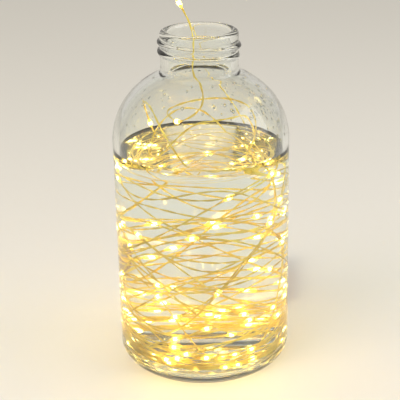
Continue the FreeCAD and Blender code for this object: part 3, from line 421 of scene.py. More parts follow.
def aimed(place, direction):
    """The move that takes a piece from the origin to a place and turns its Z to a direction."""
    return Matrix.Translation(place) @ direction.to_track_quat("Z", "Y").to_matrix().to_4x4()


def copied(pattern, move):
    """A copy of a piece, with its own mesh moved to its place."""
    copy = pattern.copy()
    copy.data = pattern.data.copy()
    copy.data.transform(move)
    bpy.context.scene.collection.objects.link(copy)
    return copy


def joined(pieces, name):
    """Several pieces made one, which stays selected."""
    bpy.ops.object.select_all(action="DESELECT")
    for piece in pieces:
        piece.select_set(True)
    bpy.context.view_layer.objects.active = pieces[0]
    bpy.ops.object.join()
    pieces[0].name = name
    return pieces[0]


def strung(name, pattern, marks):
    """Copies of a bead at marks along the route, made one piece; the pattern is taken away."""
    beads = joined([copied(pattern, aimed(*on_route(mark))) for mark in marks], name)
    bpy.data.objects.remove(pattern)
    return beads


DROP_OUTLINE = [(-3.0, 0.40), (-2.2, 0.55), (-1.5, 0.82), (-0.7, 1.14), (0.1, 1.22), (0.8, 1.1),
                (1.6, 0.78), (2.3, 0.54), (3.0, 0.40)]
CHIP_OUTLINE = [(-0.8, 0.35), (-0.6, 0.5), (0.6, 0.5), (0.8, 0.35)]
GLOW_REACH = 2.3
drop_pattern = turned_solid("drop_pattern", DROP_OUTLINE, 10)
near_chip = drop_pattern.data.attributes.new("near_chip", "FLOAT", "POINT")
for vertex, value in zip(drop_pattern.data.vertices, near_chip.data):
    value.value = max(0.0, 1 - abs(vertex.co.z) / (GLOW_REACH * MM))
led_drops = strung("led_drops", drop_pattern, drop_marks)
led_chips = strung("led_chips", turned_solid("chip_pattern", CHIP_OUTLINE, 8), drop_marks)

# Epoxy: cast clear resin that spreads the chip's light, so a lit drop is bright at its middle and
# amber towards the wire. The chip shines out through it.
lit_epoxy, tree = start_material("lit_epoxy")
closeness = add_node(tree, "Attribute", {"attribute_name": "near_chip"})
glow = add_node(tree, "Math", {"operation": "ADD"}, _0=closeness.outputs["Fac"], _1=0.1)
epoxy = add_node(tree, "BsdfPrincipled", Base_Color=hex_colour("#ffefae"), Roughness=0.12, IOR=1.5,
                 Transmission_Weight=0.6, Emission_Color=hex_colour("#ffe35e"),
                 Emission_Strength=glow.outputs[0])
passing = add_node(tree, "BsdfTransparent", Color=hex_colour("#ffebb2"))
shadow = add_node(tree, "LightPath").outputs["Is Shadow Ray"]
mixed = add_node(tree, "MixShader", Fac=shadow, _1=epoxy.outputs[0], _2=passing.outputs[0])
add_node(tree, "OutputMaterial", Surface=mixed.outputs[0])
dress(led_drops, lit_epoxy)

# LED phosphor: the lit chip itself, far brighter than what is round it.
lit_phosphor, tree = start_material("lit_phosphor")
phosphor = add_node(tree, "BsdfPrincipled", Base_Color=hex_colour("#fff6cf"), Roughness=0.5,
                    Emission_Color=hex_colour("#ffeaaa"), Emission_Strength=70.0)
add_node(tree, "OutputMaterial", Surface=phosphor.outputs[0])
dress(led_chips, lit_phosphor)

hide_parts("light_string_coil", "light_string_lead")
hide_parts("led_drops_coil", "led_drops_lead")
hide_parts("led_chips_coil", "led_chips_lead")
for piece in (light_string, led_drops, led_chips):
    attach(piece, "bottle")

# Bottle: one blown piece of clear glass with a thick pushed-up base, a domed shoulder and a
# threaded neck. Its outside and inside are one closed skin, and the thread is raised from the
# neck's own wall.
WALL = 2.7
BODY_RADIUS = INNER_RADIUS + WALL
OUTER_HEEL = (30.75, 9.5, 9.5)
OUTER_DOME = (INNER_DOME[0], INNER_DOME[1], INNER_DOME[2] + WALL)
OUTER_CROWN = (2.948, 103.20, 39.50)
INNER_CROWN = (OUTER_CROWN[0], OUTER_CROWN[1], OUTER_CROWN[2] - WALL)
NECK_RADIUS = 17.55
MOUTH_RADIUS = 14.1
BOTTLE_SIDES = 128


def arc(centre_radius, centre_height, radius, first, last, steps):
    """Stations (height, radius) on an arc, from one angle to another in degrees."""
    angles = [math.radians(first + (last - first) * i / steps) for i in range(steps + 1)]
    return [(centre_height + radius * math.sin(angle), centre_radius + radius * math.cos(angle))
            for angle in angles]


def spaced(low, high, radius, steps):
    """Stations at even steps up or down a straight wall."""
    return [(low + (high - low) * i / steps, radius) for i in range(steps + 1)]


BOTTLE_OUTLINE = (
    [(1.6, 0.6), (1.45, 8.0), (1.0, 16.0), (0.35, 24.0), (0.05, 26.4), (0.0, 27.2), (0.0, 30.0)]
    + arc(*OUTER_HEEL, -84, 0, 10)
    + spaced(20.0, 100.0, BODY_RADIUS, 8)
    + arc(*OUTER_DOME, 0, 45, 12)
    + arc(*OUTER_CROWN, 49, 63.5, 5)
    + [(139.35, 18.75), (139.85, 18.1), (140.6, 17.7)]
    + spaced(141.3, 156.6, NECK_RADIUS, 46)
    + [(157.3, 17.45), (157.9, 17.15), (158.3, 16.7), (158.5, 16.2), (158.5, 15.4)]
    + [(158.35, 14.85), (157.95, 14.4), (157.3, 14.15)]
    + spaced(156.4, 142.0, MOUTH_RADIUS, 4)
    + [(140.2, 14.2), (139.0, 14.7)]
    + arc(*INNER_CROWN, 69, 47, 6)
    + arc(*INNER_DOME, 45, 0, 12)
    + spaced(100.0, 20.0, INNER_RADIUS, 8)
    + arc(*INNER_HEEL, 0, -88, 9)
    + [(4.6, 20.0), (4.75, 10.0), (4.8, 0.6)]
)
bottle_glass = turned_solid("bottle_glass", BOTTLE_OUTLINE, BOTTLE_SIDES)

THREAD_PITCH = 4.2
THREAD_RISE = 1.2
THREAD_TOP = 155.2
THREAD_TURNS = 1.6
THREAD_HALF = 1.25
THREAD_FADE = 0.08
THREAD_FULLNESS = 0.6
THREAD_START = math.radians(150)
ON_NECK = 0.01
for vertex in bottle_glass.data.vertices:
    place = vertex.co / MM
    radius = math.hypot(place.x, place.y)
    if abs(radius - NECK_RADIUS) > ON_NECK:
        continue
    angle = (math.atan2(place.y, place.x) - THREAD_START) % (2 * math.pi)
    lift = 0.0
    for turn in (0, 1, 2):
        along = (angle + 2 * math.pi * turn) / (2 * math.pi)
        if not 0 <= along <= THREAD_TURNS:
            continue
        fade = min(1, along / THREAD_FADE, (THREAD_TURNS - along) / THREAD_FADE)
        off = abs(place.z - (THREAD_TOP - THREAD_PITCH * along - THREAD_HALF))
        bulge = max(0, 1 - (off / THREAD_HALF) ** 2)
        lift = max(lift, THREAD_RISE * fade * bulge ** THREAD_FULLNESS)
    share = (radius + lift) / radius
    vertex.co = Vector((place.x * share, place.y * share, place.z)) * MM

# Soda-lime glass: blown and fire-polished, so it is clear and smooth with slow waves in the wall.
# Lamps shine into it and out of it, so it lets them through unbent.


def clear_material(name, colour, ior, wave_size, wave_height):
    """A clear finish with waves, sized in millimetres, that lets shadow rays straight through."""
    material, tree = start_material(name)
    where = add_node(tree, "TexCoord").outputs["Object"]
    waves = add_node(tree, "TexNoise", Vector=where, Scale=1 / (wave_size * MM), Detail=1.0)
    bumped = add_node(tree, "Bump", Height=waves.outputs["Fac"], Strength=1.0,
                      Distance=wave_height * MM)
    body = add_node(tree, "BsdfPrincipled", Base_Color=hex_colour(colour), Roughness=0.0, IOR=ior,
                    Transmission_Weight=1.0, Normal=bumped.outputs["Normal"])
    passing = add_node(tree, "BsdfTransparent", Color=hex_colour(colour))
    shadow = add_node(tree, "LightPath").outputs["Is Shadow Ray"]
    mixed = add_node(tree, "MixShader", Fac=shadow, _1=body.outputs[0], _2=passing.outputs[0])
    add_node(tree, "OutputMaterial", Surface=mixed.outputs[0])
    return material


soda_lime_glass = clear_material("soda_lime_glass", "#fbfdfa", 1.5, 14.0, 0.05)
dress(bottle_glass, soda_lime_glass)
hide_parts("glass_bottle")
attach(bottle_glass, "bottle")

# Water: fills the bottle to just under the shoulder, with an edge that climbs the glass.
INTO_GLASS = 0.12
WATER_RADIUS = INNER_RADIUS + INTO_GLASS
WATER_OUTLINE = (
    [(4.5, 0.6), (4.45, 20.0)]
    + arc(INNER_HEEL[0], INNER_HEEL[1], INNER_HEEL[2] + INTO_GLASS, -88, 0, 9)
    + spaced(20.0, 100.0, WATER_RADIUS, 6)
    + [(105.7, WATER_RADIUS), (105.45, 37.4), (105.22, 37.0), (105.08, 36.4)]
    + [(105.02, 35.5), (105.0, 34.0), (105.0, 0.6)]
)
bottle_water = turned_solid("bottle_water", WATER_OUTLINE, BOTTLE_SIDES)
clear_water = clear_material("clear_water", "#fafdfd", 1.33, 30.0, 0.02)
dress(bottle_water, clear_water)
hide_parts("water_fill")
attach(bottle_water, "bottle")

# Droplets: condensed water that clings to the inside of the dome above the surface. Each is
# flattened against the wall, and they lie thicker towards the right-hand side.
DROPLET_COUNT = 260
DROPLET_SIZES = (0.3, 0.35, 0.45, 0.55, 0.75)
DROPLET_FLATNESS = 0.5
RIGHT_HAND = -15
SPREAD = 75
LOWEST_RISE = 2
HIGHEST_RISE = 68
CROWN_FROM = 45.0
scatter = random.Random(7)
droplets = []
for _ in range(DROPLET_COUNT):
    bearing = math.radians(scatter.gauss(RIGHT_HAND, SPREAD))
    rise = scatter.uniform(LOWEST_RISE, HIGHEST_RISE)
    wall = INNER_DOME if rise < CROWN_FROM else INNER_CROWN
    height, radius = arc(*wall, rise, rise, 1)[0]
    lean = math.radians(rise)
    sideways = Vector((math.cos(bearing), math.sin(bearing), 0))
    place = (sideways * radius + Vector((0, 0, height))) * MM
    outward = sideways * math.cos(lean) + Vector((0, 0, math.sin(lean)))
    size = scatter.choice(DROPLET_SIZES)
    bpy.ops.object.select_all(action="DESELECT")
    bpy.ops.mesh.primitive_uv_sphere_add(segments=8, ring_count=5, radius=size * MM)
    droplet = bpy.context.object
    flattened = Matrix.Diagonal((1.0, scatter.uniform(1.0, 1.4), DROPLET_FLATNESS, 1.0))
    droplet.data.transform(aimed(place, outward) @ flattened)
    droplets.append(droplet)
dome_droplets = joined(droplets, "dome_droplets")
bpy.ops.object.shade_smooth()
dress(dome_droplets, clear_water)
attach(dome_droplets, "bottle")

# Cork shell: the lower part of a battery holder in the shape of a wine cork, which lies on its
# side. It is a hollow plastic moulding with a printed cork skin, open at its wide end, with a small
# hole for the lead.
BORE_RADIUS = 7.5
SHELL_FLOOR = 4.0
CAP_LOW = 41.0
CAP_GAP = 0.15
SHELL_EDGE = 0.35
LEAD_HOLE_RADIUS = 1.6
CORK_SIDES = 96
cork_lies = Matrix.Translation(CORK_FOOT * MM) @ Matrix.Rotation(CORK_TAPER - math.pi / 2, 4, "X")


def cork_radius(height):
    """The cork's radius at a height above its narrow end."""
    return NARROW_RADIUS + (WIDE_RADIUS - NARROW_RADIUS) * height / CORK_LENGTH


def rounded_edge(height, radius, up, out, size):
    """Stations round an outside edge, from the wall to the face or from the face to the wall."""
    stations = arc(radius - size, 0, size, 0, 90, 4)
    stations = [(height - up * size + up * above, across) for above, across in stations]
    return stations if out else stations[::-1]


def turned_ring(name, stations, sides):
    """A turned piece with a hole right through: its outline closes on itself."""
    ring = turned_solid(name, stations + stations[:1], sides)
    bpy.ops.object.mode_set(mode="EDIT")
    bpy.ops.mesh.select_mode(type="FACE")
    bpy.ops.mesh.select_all(action="DESELECT")
    bpy.ops.object.mode_set(mode="OBJECT")
    for face in ring.data.polygons:
        face.select = len(face.vertices) == sides
    bpy.ops.object.mode_set(mode="EDIT")
    bpy.ops.mesh.delete(type="ONLY_FACE")
    bpy.ops.mesh.select_mode(type="VERT")
    bpy.ops.mesh.select_all(action="SELECT")
    bpy.ops.mesh.remove_doubles(threshold=0.005 * MM)
    bpy.ops.mesh.normals_make_consistent(inside=False)
    bpy.ops.object.mode_set(mode="OBJECT")
    return ring


def crisp(piece, degrees):
    """Smooth shading that stops at edges sharper than an angle."""
    bpy.ops.object.select_all(action="DESELECT")
    piece.select_set(True)
    bpy.context.view_layer.objects.active = piece
    bpy.ops.object.shade_smooth_by_angle(angle=math.radians(degrees))


SHELL_TOP = CAP_LOW - CAP_GAP
SHELL_OUTLINE = (
    [(0.25, LEAD_HOLE_RADIUS), (0.0, LEAD_HOLE_RADIUS + 0.25), (0.0, 5.0)]
    + rounded_edge(0.0, cork_radius(0), -1, False, 0.75)
    + [(h, cork_radius(h)) for h in (6, 12, 18, 24, 30, 36, 39)]
    + rounded_edge(SHELL_TOP, cork_radius(SHELL_TOP - SHELL_EDGE), 1, True, SHELL_EDGE)
    + [(SHELL_TOP, BORE_RADIUS + 0.3), (SHELL_TOP - 0.3, BORE_RADIUS), (24.0, BORE_RADIUS)]
    + [(SHELL_FLOOR + 0.6, BORE_RADIUS), (SHELL_FLOOR + 0.15, BORE_RADIUS - 0.2)]
    + [(SHELL_FLOOR, BORE_RADIUS - 0.6), (SHELL_FLOOR, LEAD_HOLE_RADIUS)]
)
cork_sleeve = turned_ring("cork_sleeve", SHELL_OUTLINE, CORK_SIDES)
cork_sleeve.data.transform(cork_lies)
crisp(cork_sleeve, 50)

# Printed cork: the skin shows pressed granules of 2 to 3 mm in tan and honey, with dark bark flecks
# about a millimetre wide that run across the cork, and it is slightly pitted where the flecks are.
printed_cork, tree = start_material("printed_cork")
where = add_node(tree, "TexCoord").outputs["Object"]
warped = add_node(tree, "TexNoise", Vector=where, Scale=1 / (3.0 * MM), Detail=3.0, Distortion=0.6)
granule = add_node(tree, "TexVoronoi", Vector=where, Scale=1 / (2.4 * MM), Randomness=1.0)
granule_shade = add_node(tree, "SeparateColor", Color=granule.outputs["Color"])
tone = add_node(tree, "Math", {"operation": "MULTIPLY_ADD"}, _0=granule_shade.outputs["Red"],
                _1=0.45, _2=warped.outputs["Fac"])
shades = add_node(tree, "ValToRGB", stops=((0.38, "#a97a48"), (0.95, "#dcb685")),
                  Fac=tone.outputs[0])
across = add_node(tree, "Mapping", Vector=where, Scale=(1.0, 2.6, 1.0))
bark = add_node(tree, "TexNoise", Vector=across.outputs["Vector"], Scale=1 / (1.9 * MM), Detail=4.0,
                Roughness=0.65)
flecks = add_node(tree, "ValToRGB", stops=((0.60, "#000000"), (0.67, "#ffffff")),
                  Fac=bark.outputs["Fac"])
skin = add_node(tree, "MixRGB", Fac=flecks.outputs["Color"], Color1=shades.outputs["Color"],
                Color2=hex_colour("#5f3d20"))
seams = add_node(tree, "Math", {"operation": "MULTIPLY_ADD"}, _0=flecks.outputs["Color"], _1=-0.7,
                 _2=granule.outputs["Distance"])
pitted = add_node(tree, "Bump", Height=seams.outputs[0], Strength=0.55, Distance=0.12 * MM)
cork = add_node(tree, "BsdfPrincipled", Base_Color=skin.outputs["Color"], Roughness=0.62,
                Normal=pitted.outputs["Normal"])
add_node(tree, "OutputMaterial", Surface=cork.outputs[0])
dress(cork_sleeve, printed_cork)
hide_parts("cork_shell")
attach(cork_sleeve, "bottle")

# Strain relief: a ribbed rubber grommet, pressed through the shell's floor from outside, grips the
# lead and keeps it from being bent sharply where it enters.
CORD_HOLE = 0.5
GROMMET_OUTLINE = [
    (-5.0, CORD_HOLE), (-5.0, 0.8), (-4.85, 0.95), (-4.5, 1.05), (-4.4, 0.9), (-4.05, 0.93),
    (-3.95, 1.2), (-3.5, 1.28), (-3.4, 1.05), (-3.05, 1.1), (-2.95, 1.42), (-2.5, 1.5),
    (-2.4, 1.25), (-2.05, 1.3), (-1.95, 1.62), (-1.4, 1.72), (-1.2, 1.6), (-0.8, 1.9),
    (-0.8, 2.75), (-0.65, 2.95), (-0.3, 3.0), (-0.02, 2.95), (-0.02, 1.55), (3.85, 1.5),
    (4.0, 1.35), (4.0, CORD_HOLE),
]
lead_relief = turned_ring("lead_relief", GROMMET_OUTLINE, 40)
lead_relief.data.transform(cork_lies)
crisp(lead_relief, 40)

# Rubber: soft black moulding, matt, with a fine grain from the mould. The seal ring is of it too.
matt_rubber, tree = start_material("matt_rubber")
where = add_node(tree, "TexCoord").outputs["Object"]
bloom = add_node(tree, "TexNoise", Vector=where, Scale=1 / (2.0 * MM), Detail=3.0)
shades = add_node(tree, "ValToRGB", stops=((0.0, "#161617"), (1.0, "#2b2b2c")),
                  Fac=bloom.outputs["Fac"])
mould_grain = add_node(tree, "TexNoise", Vector=where, Scale=1 / (0.25 * MM), Detail=2.0)
grained = add_node(tree, "Bump", Height=mould_grain.outputs["Fac"], Strength=0.3,
                   Distance=0.03 * MM)
rubber = add_node(tree, "BsdfPrincipled", Base_Color=shades.outputs["Color"], Roughness=0.66,
                  Specular_IOR_Level=0.4, Normal=grained.outputs["Normal"])
add_node(tree, "OutputMaterial", Surface=rubber.outputs[0])
dress(lead_relief, matt_rubber)
dress_node("seal_ring", matt_rubber)
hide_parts("lead_grommet")
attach(lead_relief, "bottle")

# Contacts: the crimp squeezed onto the lead, the blades in the block, the strips along the carrier,
# the plate behind the last cell and the switch's pins. Brass: rolled strip, stamped to shape, warm
# yellow, with fine rolling streaks along the cork and a few duller handled patches.
rolled_brass, tree = start_material("rolled_brass")
where = add_node(tree, "TexCoord").outputs["Object"]
rolled = add_node(tree, "Mapping", Vector=where, Scale=(6.0, 0.6, 6.0))
streaks = add_node(tree, "TexNoise", Vector=rolled.outputs["Vector"], Scale=1 / (1.2 * MM),
                   Detail=3.0)
shades = add_node(tree, "ValToRGB", stops=((0.3, "#b8954a"), (0.6, "#dfc074")),
                  Fac=streaks.outputs["Fac"])
dulled = add_node(tree, "MapRange", Value=streaks.outputs["Fac"], To_Min=0.38, To_Max=0.24)
brass = add_node(tree, "BsdfPrincipled", Base_Color=shades.outputs["Color"], Metallic=1.0,
                 Roughness=dulled.outputs[0])
add_node(tree, "OutputMaterial", Surface=brass.outputs[0])
for node in ("lead_crimp", "contact_blades", "contact_strips", "positive_plate", "switch_pins"):
    dress_node(node, rolled_brass)

# Contact block and battery carrier: black ABS mouldings. The block is glued across the bore and
# holds the blades, and the carrier is a trough for three button cells, screwed under the cap. ABS:
# spark-eroded mould finish, so it is satin black with a texture of about 0.3 mm.
textured_abs, tree = start_material("textured_abs")
where = add_node(tree, "TexCoord").outputs["Object"]
eroded = add_node(tree, "TexNoise", Vector=where, Scale=1 / (0.3 * MM), Detail=2.0)
uneven = add_node(tree, "TexNoise", Vector=where, Scale=1 / (4.0 * MM), Detail=2.0)
shades = add_node(tree, "ValToRGB", stops=((0.0, "#1a1a1c"), (1.0, "#28282b")),
                  Fac=uneven.outputs["Fac"])
textured = add_node(tree, "Bump", Height=eroded.outputs["Fac"], Strength=0.35, Distance=0.03 * MM)
abs_finish = add_node(tree, "MapRange", Value=uneven.outputs["Fac"], To_Min=0.38, To_Max=0.52)
abs_shader = add_node(tree, "BsdfPrincipled", Base_Color=shades.outputs["Color"],
                      Roughness=abs_finish.outputs[0], Normal=textured.outputs["Normal"])
add_node(tree, "OutputMaterial", Surface=abs_shader.outputs[0])
for node in ("contact_block", "battery_carrier"):
    dress_node(node, textured_abs)

# Button cells: three stacked cells in drawn cans. Nickel-plated steel: bright and a little yellow,
# with fine scuffs from handling.
plated_steel, tree = start_material("plated_steel")
where = add_node(tree, "TexCoord").outputs["Object"]
scuffed = add_node(tree, "Mapping", Vector=where, Scale=(3.0, 1.0, 3.0))
scuffs = add_node(tree, "TexNoise", Vector=scuffed.outputs["Vector"], Scale=1 / (2.0 * MM),
                  Detail=5.0)
shades = add_node(tree, "ValToRGB", stops=((0.3, "#c2bfb6"), (0.65, "#d6d3ca")),
                  Fac=scuffs.outputs["Fac"])
worn = add_node(tree, "MapRange", Value=scuffs.outputs["Fac"], To_Min=0.3, To_Max=0.2)
nickel = add_node(tree, "BsdfPrincipled", Base_Color=shades.outputs["Color"], Metallic=1.0,
                  Roughness=worn.outputs[0])
add_node(tree, "OutputMaterial", Surface=nickel.outputs[0])
for node in ("button_cell_1", "button_cell_2", "button_cell_3"):
    dress_node(node, plated_steel)

# Negative spring: steel wire wound into a flat cone at the carrier's inner end, pressed by the
# first cell.
SPRING_LOW = 14.7
SPRING_HEIGHT = 2.6
SPRING_WIDE = 4.0
SPRING_NARROW = 1.8
SPRING_WIRE = 0.225
SPRING_TURNS = 2
SPRING_POINTS = 14
spring_curve = bpy.data.curves.new("spring_wire", "CURVE")
spring_curve.dimensions = "3D"
spring_curve.bevel_depth = SPRING_WIRE * MM
spring_curve.bevel_resolution = 3
spring_curve.use_fill_caps = True
spring_curve.resolution_u = 4
spring_line = spring_curve.splines.new("NURBS")
spring_line.points.add(SPRING_TURNS * SPRING_POINTS)
for number, point in enumerate(spring_line.points):
    share = number / (SPRING_TURNS * SPRING_POINTS)
    turn = 2 * math.pi * SPRING_TURNS * share
    radius = SPRING_WIDE + (SPRING_NARROW - SPRING_WIDE) * share
    height = SPRING_LOW + SPRING_WIRE + (SPRING_HEIGHT - 2 * SPRING_WIRE) * share
    point.co = (radius * math.cos(turn) * MM, radius * math.sin(turn) * MM, height * MM, 1.0)
spring_line.order_u = 3
spring_line.use_endpoint_u = True
spring_form = bpy.data.objects.new("spring_form", spring_curve)
bpy.context.scene.collection.objects.link(spring_form)
bpy.context.view_layer.update()
cell_spring = bpy.data.objects.new("cell_spring", bpy.data.meshes.new_from_object(spring_form))
bpy.context.scene.collection.objects.link(cell_spring)
bpy.data.objects.remove(spring_form)
cell_spring.data.transform(cork_lies)
crisp(cell_spring, 60)

# Zinc-plated steel: drawn wire, the switch's pressed can and the turned screws, cool grey with a
# faint mottle.
zinc_steel, tree = start_material("zinc_steel")
where = add_node(tree, "TexCoord").outputs["Object"]
mottle = add_node(tree, "TexNoise", Vector=where, Scale=1 / (1.5 * MM), Detail=3.0)
shades = add_node(tree, "ValToRGB", stops=((0.0, "#9ea1a3"), (1.0, "#c9cccd")),
                  Fac=mottle.outputs["Fac"])
patchy = add_node(tree, "MapRange", Value=mottle.outputs["Fac"], To_Min=0.25, To_Max=0.4)
zinc = add_node(tree, "BsdfPrincipled", Base_Color=shades.outputs["Color"], Metallic=1.0,
                Roughness=patchy.outputs[0])
add_node(tree, "OutputMaterial", Surface=zinc.outputs[0])
dress(cell_spring, zinc_steel)
dress_node("switch_housing", zinc_steel)
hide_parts("negative_spring")
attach(cell_spring, "battery_cap")

# Carrier screws: two small cross-head screws through the carrier's flange into the cap's spigot.
FLANGE_LOW = 34.0
SCREW_CIRCLE = 5.0
THREAD_ROOT = 0.42
SCREW_THREAD = 0.55
SCREW_PITCH = 0.55
SCREW_RIDGES = 6
CROSS_BAR = (0.6, 0.12)
RECESS_DEPTH = 0.4
SCREW_OUTLINE = [(0.0, 0.3), (0.0, 0.8), (0.12, 0.95), (0.35, 1.0), (0.8, 1.0), (0.8, SCREW_THREAD)]
for ridge in range(SCREW_RIDGES):
    foot = 0.95 + SCREW_PITCH * ridge
    SCREW_OUTLINE += [(foot, THREAD_ROOT), (foot + 0.25, SCREW_THREAD)]
SCREW_OUTLINE += [(4.2, 0.4), (4.4, 0.12)]


def cut_away(piece, cutters):
    """Cuts pieces out of another one and takes them away."""
    bpy.context.view_layer.objects.active = piece
    for cutter in cutters:
        cut = piece.modifiers.new("cut", "BOOLEAN")
        cut.operation = "DIFFERENCE"
        cut.solver = "EXACT"
        cut.object = cutter
        bpy.ops.object.modifier_apply(modifier=cut.name)
        bpy.data.objects.remove(cutter)


def cutting_block(low, high):
    """A block between two corners, for cutting with."""
    bpy.ops.object.select_all(action="DESELECT")
    middle = [(a + b) / 2 * MM for a, b in zip(low, high)]
    sides = [(b - a) * MM for a, b in zip(low, high)]
    bpy.ops.mesh.primitive_cube_add(size=1, location=middle, scale=sides)
    bpy.ops.object.transform_apply(location=True, rotation=True, scale=True)
    return bpy.context.object


screw_pattern = turned_solid("screw_pattern", SCREW_OUTLINE, 24)
bars = (CROSS_BAR, CROSS_BAR[::-1])
recess = [cutting_block((-x, -y, -0.1), (x, y, RECESS_DEPTH)) for x, y in bars]
cut_away(screw_pattern, recess)
screw_places = [Vector((0, side, FLANGE_LOW)) * MM for side in (SCREW_CIRCLE, -SCREW_CIRCLE)]
screws = [copied(screw_pattern, cork_lies @ Matrix.Translation(place)) for place in screw_places]
bpy.data.objects.remove(screw_pattern)
flange_screws = joined(screws, "flange_screws")
crisp(flange_screws, 35)
dress(flange_screws, zinc_steel)
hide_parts("carrier_screws")
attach(flange_screws, "battery_cap")

# End cap: the wide end of the cork, a moulding with the same printed skin. Its spigot slides in the
# shell with a seal ring in a groove, and a slide switch sits behind a slot in a shallow dish.
CAP_EDGE = 0.8
SPIGOT_RADIUS = 7.3
GROOVE_RADIUS = 6.5
SWITCH_POCKET = ((-4.35, -1.85, 35.0), (4.35, 1.85, 46.0))
KNOB_SLOT = ((-2.3, -1.0, 45.0), (2.3, 1.0, 48.5))
CAP_OUTLINE = (
    [(36.0, 0.6), (36.0, 6.9), (36.15, 7.15), (36.4, SPIGOT_RADIUS), (37.85, SPIGOT_RADIUS)]
    + [(37.85, GROOVE_RADIUS), (39.15, GROOVE_RADIUS), (39.15, SPIGOT_RADIUS)]
    + [(CAP_LOW, SPIGOT_RADIUS)]
    + rounded_edge(CAP_LOW, cork_radius(CAP_LOW), -1, False, SHELL_EDGE)
    + [(44.0, cork_radius(44.0))]
    + rounded_edge(CORK_LENGTH, cork_radius(CORK_LENGTH - CAP_EDGE), 1, True, CAP_EDGE)
    + [(CORK_LENGTH, 6.6), (47.96, 6.4), (47.85, 6.2), (47.6, 5.85)]
    + [(47.45, 5.6), (47.4, 5.2), (47.4, 0.6)]
)
cork_cap = turned_solid("cork_cap", CAP_OUTLINE, CORK_SIDES)
cut_away(cork_cap, [cutting_block(*SWITCH_POCKET), cutting_block(*KNOB_SLOT)])
cork_cap.data.transform(cork_lies)
crisp(cork_cap, 40)
dress(cork_cap, printed_cork)
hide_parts("end_cap")
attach(cork_cap, "battery_cap")

# Switch board and resistor: a small board behind the switch with one chip resistor. Fibreglass
# board: a glass weave of about 0.4 mm shows faintly through green lacquer.
WEAVE = 0.4
WAVES_PER_UNIT = 6.3
weave_scale = 1 / (WEAVE * MM) / WAVES_PER_UNIT
lacquered_board, tree = start_material("lacquered_board")
where = add_node(tree, "TexCoord").outputs["Object"]
warp = add_node(tree, "TexWave", {"bands_direction": "X"}, Vector=where, Scale=weave_scale,
                Distortion=0.3)
weft = add_node(tree, "TexWave", {"bands_direction": "Z"}, Vector=where, Scale=weave_scale,
                Distortion=0.3)
weave = add_node(tree, "Math", {"operation": "ADD"}, _0=warp.outputs["Fac"], _1=weft.outputs["Fac"])
shades = add_node(tree, "ValToRGB", stops=((0.0, "#17532f"), (1.0, "#2a7a48")),
                  Fac=weave.outputs[0])
woven = add_node(tree, "Bump", Height=weave.outputs[0], Strength=0.2, Distance=0.02 * MM)
board = add_node(tree, "BsdfPrincipled", Base_Color=shades.outputs["Color"], Roughness=0.35,
                 Coat_Weight=0.5, Coat_Roughness=0.15, Normal=woven.outputs["Normal"])
add_node(tree, "OutputMaterial", Surface=board.outputs[0])
dress_node("switch_board", lacquered_board)

# Thick-film resistor: a black glazed body on white ceramic, with tinned ends.
RESISTOR_MIDDLE = CORK_FOOT.x + 1.25
FILM_HALF = 0.5
chip_resistor, tree = start_material("chip_resistor")
where = add_node(tree, "TexCoord").outputs["Object"]
sideways = add_node(tree, "SeparateXYZ", Vector=where).outputs["X"]
from_middle = add_node(tree, "Math", {"operation": "SUBTRACT"}, _0=sideways,
                       _1=RESISTOR_MIDDLE * MM)
reach = add_node(tree, "Math", {"operation": "ABSOLUTE"}, _0=from_middle.outputs[0])
at_end = add_node(tree, "Math", {"operation": "GREATER_THAN"}, _0=reach.outputs[0],
                  _1=FILM_HALF * MM)
glaze = add_node(tree, "TexNoise", Vector=where, Scale=1 / (0.4 * MM), Detail=2.0)
shades = add_node(tree, "ValToRGB", stops=((0.0, "#151413"), (1.0, "#2a2826")),
                  Fac=glaze.outputs["Fac"])
film = add_node(tree, "MixRGB", Fac=at_end.outputs[0], Color1=shades.outputs["Color"],
                Color2=hex_colour("#c8c8c6"))
resistor = add_node(tree, "BsdfPrincipled", Base_Color=film.outputs["Color"],
                    Metallic=at_end.outputs[0], Roughness=0.32)
add_node(tree, "OutputMaterial", Surface=resistor.outputs[0])
dress_node("limiting_resistor", chip_resistor)

# Switch knob: a small ridged slider that stands in the dish and moves between off and on.
KNOB_LENGTH = 2.2
KNOB_WIDTH = 1.6
KNOB_LOW = 44.5
KNOB_TOP = 48.6
KNOB_REST = -1.0
KNOB_EDGE = 0.06
RIDGES = (0.18, 0.0, 0.3, 0.0, 0.3, 0.0, 0.3, 0.0, 0.3, 0.0, 0.18)
bpy.ops.object.select_all(action="DESELECT")
columns = len(RIDGES) - 1
bpy.ops.mesh.primitive_grid_add(x_subdivisions=columns, y_subdivisions=1, size=1)
slider_knob = bpy.context.object
slider_knob.name = "slider_knob"
for vertex in slider_knob.data.vertices:
    column = round((vertex.co.x + 0.5) * columns)
    height = KNOB_TOP - RIDGES[column] if vertex.co.y > 0 else KNOB_LOW
    vertex.co = Vector((KNOB_REST + vertex.co.x * KNOB_LENGTH, -KNOB_WIDTH / 2, height)) * MM
bpy.ops.object.mode_set(mode="EDIT")
bpy.ops.mesh.select_all(action="SELECT")
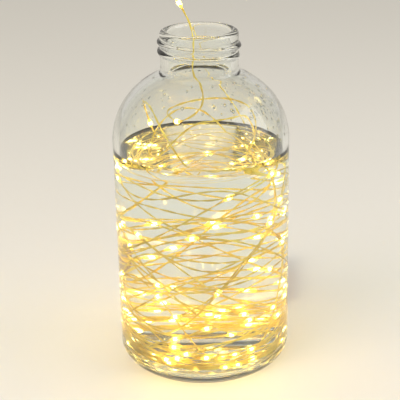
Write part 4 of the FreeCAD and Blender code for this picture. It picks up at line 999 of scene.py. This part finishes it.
bpy.ops.mesh.extrude_region_move(TRANSFORM_OT_translate={"value": (0, KNOB_WIDTH * MM, 0)})
bpy.ops.mesh.select_all(action="SELECT")
bpy.ops.mesh.normals_make_consistent(inside=False)
bpy.ops.object.mode_set(mode="OBJECT")
softened = slider_knob.modifiers.new("softened", "BEVEL")
softened.width = KNOB_EDGE * MM
softened.segments = 2
softened.limit_method = "ANGLE"
softened.angle_limit = math.radians(40)
bpy.ops.object.modifier_apply(modifier=softened.name)
slider_knob.data.transform(cork_lies)
crisp(slider_knob, 30)

# Acetal: white, hard and slippery, with a dull sheen and faint grime in the ridges.
white_acetal, tree = start_material("white_acetal")
where = add_node(tree, "TexCoord").outputs["Object"]
grime = add_node(tree, "TexNoise", Vector=where, Scale=1 / (0.8 * MM), Detail=3.0)
shades = add_node(tree, "ValToRGB", stops=((0.3, "#d9d5c9"), (0.55, "#f0eee6")),
                  Fac=grime.outputs["Fac"])
acetal = add_node(tree, "BsdfPrincipled", Base_Color=shades.outputs["Color"], Roughness=0.34)
add_node(tree, "OutputMaterial", Surface=acetal.outputs[0])
dress(slider_knob, white_acetal)
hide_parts("switch_knob")
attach(slider_knob, "switch_slider")

# End sleeve: a short tube shrunk over the string's cut end and sealed, under the water. Polyolefin:
# milky clear, with faint wrinkles where it shrank.
shrunk_polyolefin, tree = start_material("shrunk_polyolefin")
where = add_node(tree, "TexCoord").outputs["Object"]
wrinkles = add_node(tree, "TexNoise", Vector=where, Scale=1 / (0.8 * MM), Detail=2.0)
milky = add_node(tree, "MapRange", Value=wrinkles.outputs["Fac"], To_Min=0.18, To_Max=0.36)
wrinkled = add_node(tree, "Bump", Height=wrinkles.outputs["Fac"], Strength=0.4, Distance=0.05 * MM)
polyolefin = add_node(tree, "BsdfPrincipled", Base_Color=hex_colour("#f2e9cf"),
                      Roughness=milky.outputs[0],
                      IOR=1.49, Transmission_Weight=0.7, Normal=wrinkled.outputs["Normal"])
add_node(tree, "OutputMaterial", Surface=polyolefin.outputs[0])
dress_node("string_end_sleeve", shrunk_polyolefin)
